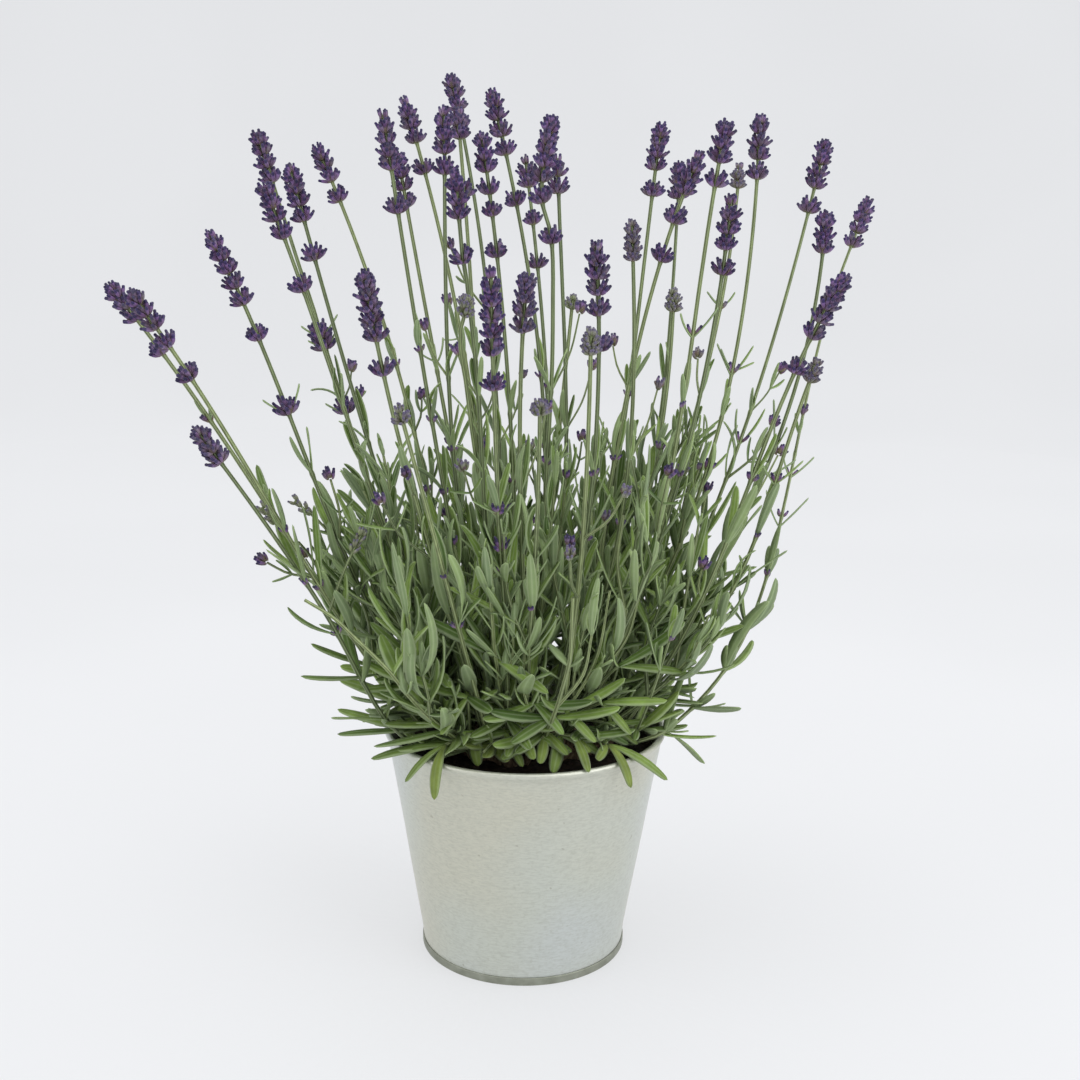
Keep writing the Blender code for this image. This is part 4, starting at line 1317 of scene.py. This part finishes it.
def pot_base():
    """The bottom disc, with its edge folded up round the wall as a foot seam."""
    shape = Shape()
    top, out = SEAM_TOP, FOOT_RADIUS
    edge = 0.45 * MM
    inner = out - 2.0 * MM
    profile = [(0.02 * MM, 2.5 * MM)] + [(inner + step * MM, z * MM) for step, z in DISC_BELOW]
    profile += arc((inner + 0.4 * MM, 0.35 * MM), 0.35 * MM, 200, 270, 4)
    profile += arc((out - edge, edge), edge, -90, 0, 5)
    profile += arc((out - edge, top - edge), edge, 0, 120, 7)
    profile += [(out - 0.8 * MM, top - 1.0 * MM), (out - 0.75 * MM, 0.75 * MM)]
    profile += [(inner + step * MM, z * MM) for step, z in DISC_ABOVE] + [(0.02 * MM, 3.0 * MM)]
    turned(shape, profile)
    heights = shape.points[0][:, 2]
    reaches = np.hypot(shape.points[0][:, 0], shape.points[0][:, 1])
    # The points down in the fold along the seam's top, kept in the along value: the seam's material paints
    # shade there.
    painted_crease_shade = (heights > top - 1.2 * MM) & (reaches < out - 0.5 * MM)
    shape.values[0][:, 0] = painted_crease_shade
    return shape


# The soil's top from its middle outwards: (share of its radius, height in mm).
SOIL_ROWS = [(0.004, 0.0)] + [(k / 26, 0.3 - 1.6 * (k / 26) ** 3) for k in range(1, 26)]
# Its lumps: (size, height) in mm; and how many loose crumbs lie on it.
SOIL_LUMPS = ((5, 1.3), (2, 0.5))
SOIL_CRUMBS = 260
# Rings of a crumb: (place along it, width), as shares of its size.
CRUMB_ROWS = ((-1.0, 0.35), (-0.5, 0.85), (0.2, 1.0), (0.8, 0.7), (1.1, 0.2))


def soil_body():
    """Loose soil with a crumbly top, and crumbs lying on it."""
    shape = Shape()
    chance = random.Random(11)
    edge = SOIL_TOP - 1.5 * MM
    profile = [(0.3 * MM, 3.3 * MM), (wall_line(4 * MM) - 1.0 * MM, 3.4 * MM)]
    profile += [(wall_line(z) - 0.9 * MM, z) for z in np.linspace(8 * MM, edge, 8)]
    profile += [(SOIL_RADIUS * share, SOIL_TOP + drop * MM) for share, drop in reversed(SOIL_ROWS)]
    turned(shape, profile)
    points = shape.points[0]
    for row in points:
        if row[2] > edge - 1 * MM:
            row[2] += sum(noise.noise(Vector(row) / (size * MM)) * high * MM for size, high in SOIL_LUMPS)
    for _ in range(SOIL_CRUMBS):
        reach = SOIL_RADIUS * math.sqrt(chance.random()) * 0.97
        angle = chance.uniform(0, 2 * math.pi)
        place = np.array([reach * math.cos(angle), reach * math.sin(angle), SOIL_TOP - 0.3 * MM])
        size = chance.uniform(0.6, 2.0) * MM
        along = unit(np.array([chance.uniform(-1, 1), chance.uniform(-1, 1), chance.uniform(-0.4, 0.6)]))
        side = crosswise(along)
        normal = np.cross(along, side)
        turn = round_turn(6)
        rings = []
        for step, wide in CRUMB_ROWS:
            wide = np.array([wide * size * chance.uniform(0.7, 1.15) for _ in turn])
            ring = place + along * step * size * 0.9 + side * (np.cos(turn) * wide)[:, None]
            rings.append(ring + normal * (np.sin(turn) * wide * 0.7)[:, None])
        shape.loft(np.array(rings), 0, np.zeros(5), np.zeros(6), chance.random())
    return shape


# Reach and compass angle of each trunk.
CROWN_TRUNKS = [(4 * MM, 0.5)] + [(22 * MM, 0.3 + k * math.pi / 3) for k in range(6)]
# Thickness of a trunk, and of a branch at its foot and how much of that it loses, in mm.
TRUNK_RADIUS = 4.2
BRANCH_RADIUS = 2.7
BRANCH_TAPER = 1.35


def woody_crown(roots):
    """Old branches that fork from a few trunks at soil level out to the foot of every stalk."""
    shape = Shape()
    chance = random.Random(7)
    trunks = [np.array([r * math.cos(a), r * math.sin(a), SOIL_TOP - 3 * MM]) for r, a in CROWN_TRUNKS]
    for root in roots:
        trunk = min(trunks, key=lambda place: np.linalg.norm(place[:2] - root[:2]))
        jitter = np.array([chance.uniform(-1.5, 1.5), chance.uniform(-1.5, 1.5), 0.0]) * MM
        middle = (trunk + root) / 2 + jitter + SKYWARD * 1.5 * MM
        lifted = root + SKYWARD * 3 * MM
        line, places = smooth_line([trunk + jitter, middle, root, lifted], 1.6 * MM)
        share = places / places[-1]
        knobs = np.array([1 + 0.22 * noise.noise(Vector(point) / (3 * MM)) for point in line])
        radii = (BRANCH_RADIUS - BRANCH_TAPER * share) * MM * knobs
        add_stalk(shape, line, radii, chance.random(), square=False)
    for trunk in trunks:
        top = trunk + np.array([chance.uniform(-2, 2), chance.uniform(-2, 2), 9]) * MM
        line, places = smooth_line([trunk - SKYWARD * 2 * MM, (trunk + top) / 2, top], 1.6 * MM)
        knobs = np.array([1 + 0.25 * noise.noise(Vector(point) / (4 * MM)) for point in line])
        radii = knobs * TRUNK_RADIUS * MM
        radii[-1] *= 0.6
        add_stalk(shape, line, radii, chance.random(), square=False)
    return shape


# ---------------------------------------------------------------- what a user may change


def length_property(name, description, default):
    """A length in metres, shown to a hundredth of a millimetre."""
    return FloatProperty(name=name, description=description, default=default, unit="LENGTH", precision=5)


def colour_property(name, description, hex_colour):
    """A colour that starts as an sRGB hex value."""
    settings = {"size": 4, "subtype": "COLOR", "min": 0.0, "max": 1.0}
    return FloatVectorProperty(name=name, description=description, default=linear(hex_colour), **settings)


class PotLook(bpy.types.PropertyGroup):
    """Sizes of the zinc pot."""

    sheet: length_property("Sheet", "Thickness of the zinc sheet", 0.5 * MM)


class FlowerLook(bpy.types.PropertyGroup):
    """Sizes of the flower stems and their florets."""

    stalk_width: length_property("Stalk width", "Across a stalk", 1.65 * MM)
    floret_length: length_property("Floret length", "Calyx and bud of a full floret", 5.3 * MM)
    floret_width: length_property("Floret width", "Across a full calyx", 1.7 * MM)
    whorl_spacing: length_property("Whorl spacing", "Between the whorls of a head", 5.3 * MM)
    spray_angle: FloatProperty(
        name="Spray angle",
        description="How far one spray reaches round the stalk",
        default=2.3,
        unit="ROTATION",
    )
    seed: IntProperty(name="Seed", description="Changes every random choice on the flower stems", default=3)


class LeafLook(bpy.types.PropertyGroup):
    """Sizes of the leaves, and how many twigs carry them."""

    length: length_property("Leaf length", "Length of a usual leaf", 34 * MM)
    width: length_property("Leaf width", "Width of a usual leaf", 4.4 * MM)
    lift: FloatProperty(
        name="Lift", description="How strongly the leaves of the shoots turn towards the sky", default=1.3
    )
    twigs: IntProperty(name="Side twigs", description="Twigs on each leafy shoot", default=4)
    low_twigs: IntProperty(name="Low twigs", description="Twigs of each shoot that reach the rim", default=2)
    seed: IntProperty(name="Seed", description="Changes every random choice on the leafy shoots", default=5)


class PlantColours(bpy.types.PropertyGroup):
    """Main colours of plant and floor."""

    stalk_dark: colour_property("Stalk, dark", "Deeper green of the stalks", "#74855A")
    stalk_light: colour_property("Stalk, light", "Lighter green of the stalks", "#9BAB74")
    leaf_dark: colour_property("Leaf, dark", "Deeper green of the leaves", "#446226")
    leaf_light: colour_property("Leaf, light", "Lighter green of the leaves", "#89A64C")
    leaf_old: colour_property("Leaf, old", "Yellow-green of the low leaves", "#7C8D3F")
    calyx_down: colour_property("Calyx down", "Pale down on the ribs of the calyces", "#9388A4")
    # The colour the floor glows with near the plant: painted light.
    floor: colour_property("Floor", "Studio floor", "#F2F3F5")


# ---------------------------------------------------------------- operators


# Edges of the pot that bend more than this stay crisp.
SHARP_ANGLE = math.radians(50)


def stands_for(shape, name, materials, slot, *nodes):
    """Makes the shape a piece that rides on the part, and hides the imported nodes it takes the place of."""
    piece = shape.make(name, materials)
    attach(piece, "root")
    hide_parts(*nodes)
    return piece


class LAVENDER_OT_pot_wall(bpy.types.Operator):
    """Makes the pot's tapered wall with its rolled rim"""

    bl_idname = "lavender.pot_wall"
    bl_label = "Pot wall"

    def execute(self, context):
        shape = pot_wall(context.scene.lavender_pot.sheet)
        piece = stands_for(shape, "zinc_wall", [galvanised_zinc()], "galvanised_zinc", "pot_wall")
        piece.data.set_sharp_from_angle(angle=SHARP_ANGLE)
        return {"FINISHED"}


class LAVENDER_OT_pot_base(bpy.types.Operator):
    """Makes the pot's bottom disc with its foot seam"""

    bl_idname = "lavender.pot_base"
    bl_label = "Pot base"

    def execute(self, context):
        piece = stands_for(pot_base(), "zinc_base", [zinc_seam()], "galvanised_zinc", "pot_base")
        piece.data.set_sharp_from_angle(angle=SHARP_ANGLE)
        return {"FINISHED"}


class LAVENDER_OT_soil(bpy.types.Operator):
    """Fills the pot with soil"""

    bl_idname = "lavender.soil"
    bl_label = "Soil"

    def execute(self, context):
        stands_for(soil_body(), "loose_soil", [potting_soil()], "potting_soil", "potting_soil")
        return {"FINISHED"}


class LAVENDER_OT_crown(bpy.types.Operator):
    """Grows the old wood that carries the stalks"""

    bl_idname = "lavender.crown"
    bl_label = "Woody crown"

    def execute(self, context):
        roots = [tube_rings(node)[0][0] for node in FLOWER_STEMS]
        roots += [stalk_line(node)[0] for node in LEAFY_SHOOTS]
        stands_for(woody_crown(roots), "old_wood", [lavender_bark()], "lavender_wood", "woody_crown")
        return {"FINISHED"}


class LAVENDER_OT_flower_stems(bpy.types.Operator):
    """Grows every flower stem with its leaves, whorls and head"""

    bl_idname = "lavender.flower_stems"
    bl_label = "Flower stems"

    def execute(self, context):
        scene = context.scene
        colours = scene.lavender_colours
        materials = [stalk_green(colours), leaf_green(colours), floret_violet(colours), bract_brown()]
        read_free_lines()
        for index, node in enumerate(FLOWER_STEMS, 1):
            shape = flower_stem(node, index, scene.lavender_flowers, scene.lavender_leaves)
            stands_for(shape, f"flowering_stem_{index:02d}", materials, "flower_stem", node)
        return {"FINISHED"}


class LAVENDER_OT_leafy_shoots(bpy.types.Operator):
    """Grows every leafy shoot"""

    bl_idname = "lavender.leafy_shoots"
    bl_label = "Leafy shoots"

    def execute(self, context):
        scene = context.scene
        colours = scene.lavender_colours
        materials = [stalk_green(colours), leaf_green(colours)]
        read_free_lines()
        lines = [smooth_line(stalk_line(node), 4 * MM) for node in LEAFY_SHOOTS]
        roots = [line[0] for line, _ in lines]
        for index, (node, (line, places)) in enumerate(zip(LEAFY_SHOOTS, lines), 1):
            rim_twigs = [twig for twig in RIM_TWIGS if nearest(twig[0][0], roots) == index - 1]
            shape = leafy_shoot(index, line, places, scene.lavender_leaves, rim_twigs)
            stands_for(shape, f"leaf_shoot_{index:02d}", materials, "leaf", node)
        return {"FINISHED"}


# Each soft light: its name, place, target, size and power in watts.
LIGHTS = (
    ("overhead_softbox", (0.2, -0.2, 1.8), (0.0, 0.0, 0.1), 2.4, 22.0),
    ("left_softbox", (-1.3, -0.5, 0.9), (0.0, 0.0, 0.2), 1.2, 4.2),
    ("right_softbox", (1.2, -0.8, 0.9), (0.0, 0.0, 0.2), 1.2, 8.8),
)
AIR_COLOUR = "#F4F6FA"
AIR_STRENGTH = 0.5
# Lens and film width in mm, where the camera stands, and its turns in degrees: to the side, up, and its roll.
CAMERA_LENS = 50.0
CAMERA_FILM = 36.0
CAMERA_PLACE = (0.0, -0.634, 0.335)
CAMERA_TURNS = ((-0.5, "Z"), (76.9, "X"), (0.74, "Z"))


class LAVENDER_OT_stage(bpy.types.Operator):
    """Sets up the floor, the soft lights and the camera"""

    bl_idname = "lavender.stage"
    bl_label = "Stage"

    def execute(self, context):
        scene = context.scene
        shape = Shape()
        wall = PAPER_FLAT + PAPER_CURVE
        back = wall + PAPER_THICKNESS
        profile = [(0.01, 0.0)] + [(PAPER_FLAT * k / 6, 0.0) for k in range(1, 7)]
        profile += arc((PAPER_FLAT, PAPER_CURVE), PAPER_CURVE, -90, 0, 16) + [(wall, PAPER_TOP)]
        profile += [(back, PAPER_TOP), (back, -PAPER_THICKNESS), (0.01, -PAPER_THICKNESS)]
        turned(shape, profile[::-1], steps=96)
        floor = shape.make("studio_floor", [seamless_paper(scene.lavender_colours)])
        for light in LIGHTS:
            add_light(*light)
        world = bpy.data.worlds.new("studio_air")
        world.use_nodes = True
        background = world.node_tree.nodes["Background"]
        background.inputs["Color"].default_value = linear(AIR_COLOUR)
        background.inputs["Strength"].default_value = AIR_STRENGTH
        scene.world = world
        scene.view_settings.view_transform = "Standard"
        camera = bpy.data.objects.new("front_camera", bpy.data.cameras.new("front_camera"))
        camera.data.lens = CAMERA_LENS
        camera.data.sensor_width = CAMERA_FILM
        camera.matrix_world = Matrix.Translation(CAMERA_PLACE)
        for degrees, axis in CAMERA_TURNS:
            camera.matrix_world = camera.matrix_world @ Matrix.Rotation(math.radians(degrees), 4, axis)
        scene.collection.objects.link(camera)
        scene.camera = camera
        return {"FINISHED"}


def add_light(name, place, target, size, power):
    """A square soft light that shines from place towards target."""
    data = bpy.data.lights.new(name, "AREA")
    data.shape = "SQUARE"
    data.size = size
    data.energy = power
    light = bpy.data.objects.new(name, data)
    light.location = place
    light.rotation_euler = (Vector(target) - Vector(place)).to_track_quat("-Z", "Y").to_euler()
    light.visible_camera = False
    bpy.context.scene.collection.objects.link(light)


OPERATORS = (
    LAVENDER_OT_stage,
    LAVENDER_OT_pot_wall,
    LAVENDER_OT_pot_base,
    LAVENDER_OT_soil,
    LAVENDER_OT_crown,
    LAVENDER_OT_flower_stems,
    LAVENDER_OT_leafy_shoots,
)


class LAVENDER_PT_panel(bpy.types.Panel):
    """The steps that make the plant, in order, and what can be changed"""

    bl_idname = "LAVENDER_PT_panel"
    bl_label = "Potted lavender"
    bl_space_type = "VIEW_3D"
    bl_region_type = "UI"
    bl_category = "Lavender"

    def draw(self, context):
        for name in GROUPS:
            settings = getattr(context.scene, name)
            for key in settings.bl_rna.properties.keys():
                if key not in ("rna_type", "name"):
                    self.layout.prop(settings, key)
        for operator in OPERATORS:
            self.layout.operator(operator.bl_idname)


GROUPS = {
    "lavender_pot": PotLook,
    "lavender_flowers": FlowerLook,
    "lavender_leaves": LeafLook,
    "lavender_colours": PlantColours,
}


CLASSES = (*GROUPS.values(), *OPERATORS, LAVENDER_PT_panel)


def register():
    """Makes the settings, the steps and the panel known."""
    for kind in CLASSES:
        bpy.utils.register_class(kind)
    for name, kind in GROUPS.items():
        setattr(bpy.types.Scene, name, PointerProperty(type=kind))


def unregister():
    """Takes them away again."""
    for name in GROUPS:
        delattr(bpy.types.Scene, name)
    for kind in reversed(CLASSES):
        bpy.utils.unregister_class(kind)


def main():
    """Makes every piece in order."""
    register()
    for operator in OPERATORS:
        category, name = operator.bl_idname.split(".")
        getattr(getattr(bpy.ops, category), name)()


if __name__ == "__main__":
    main()
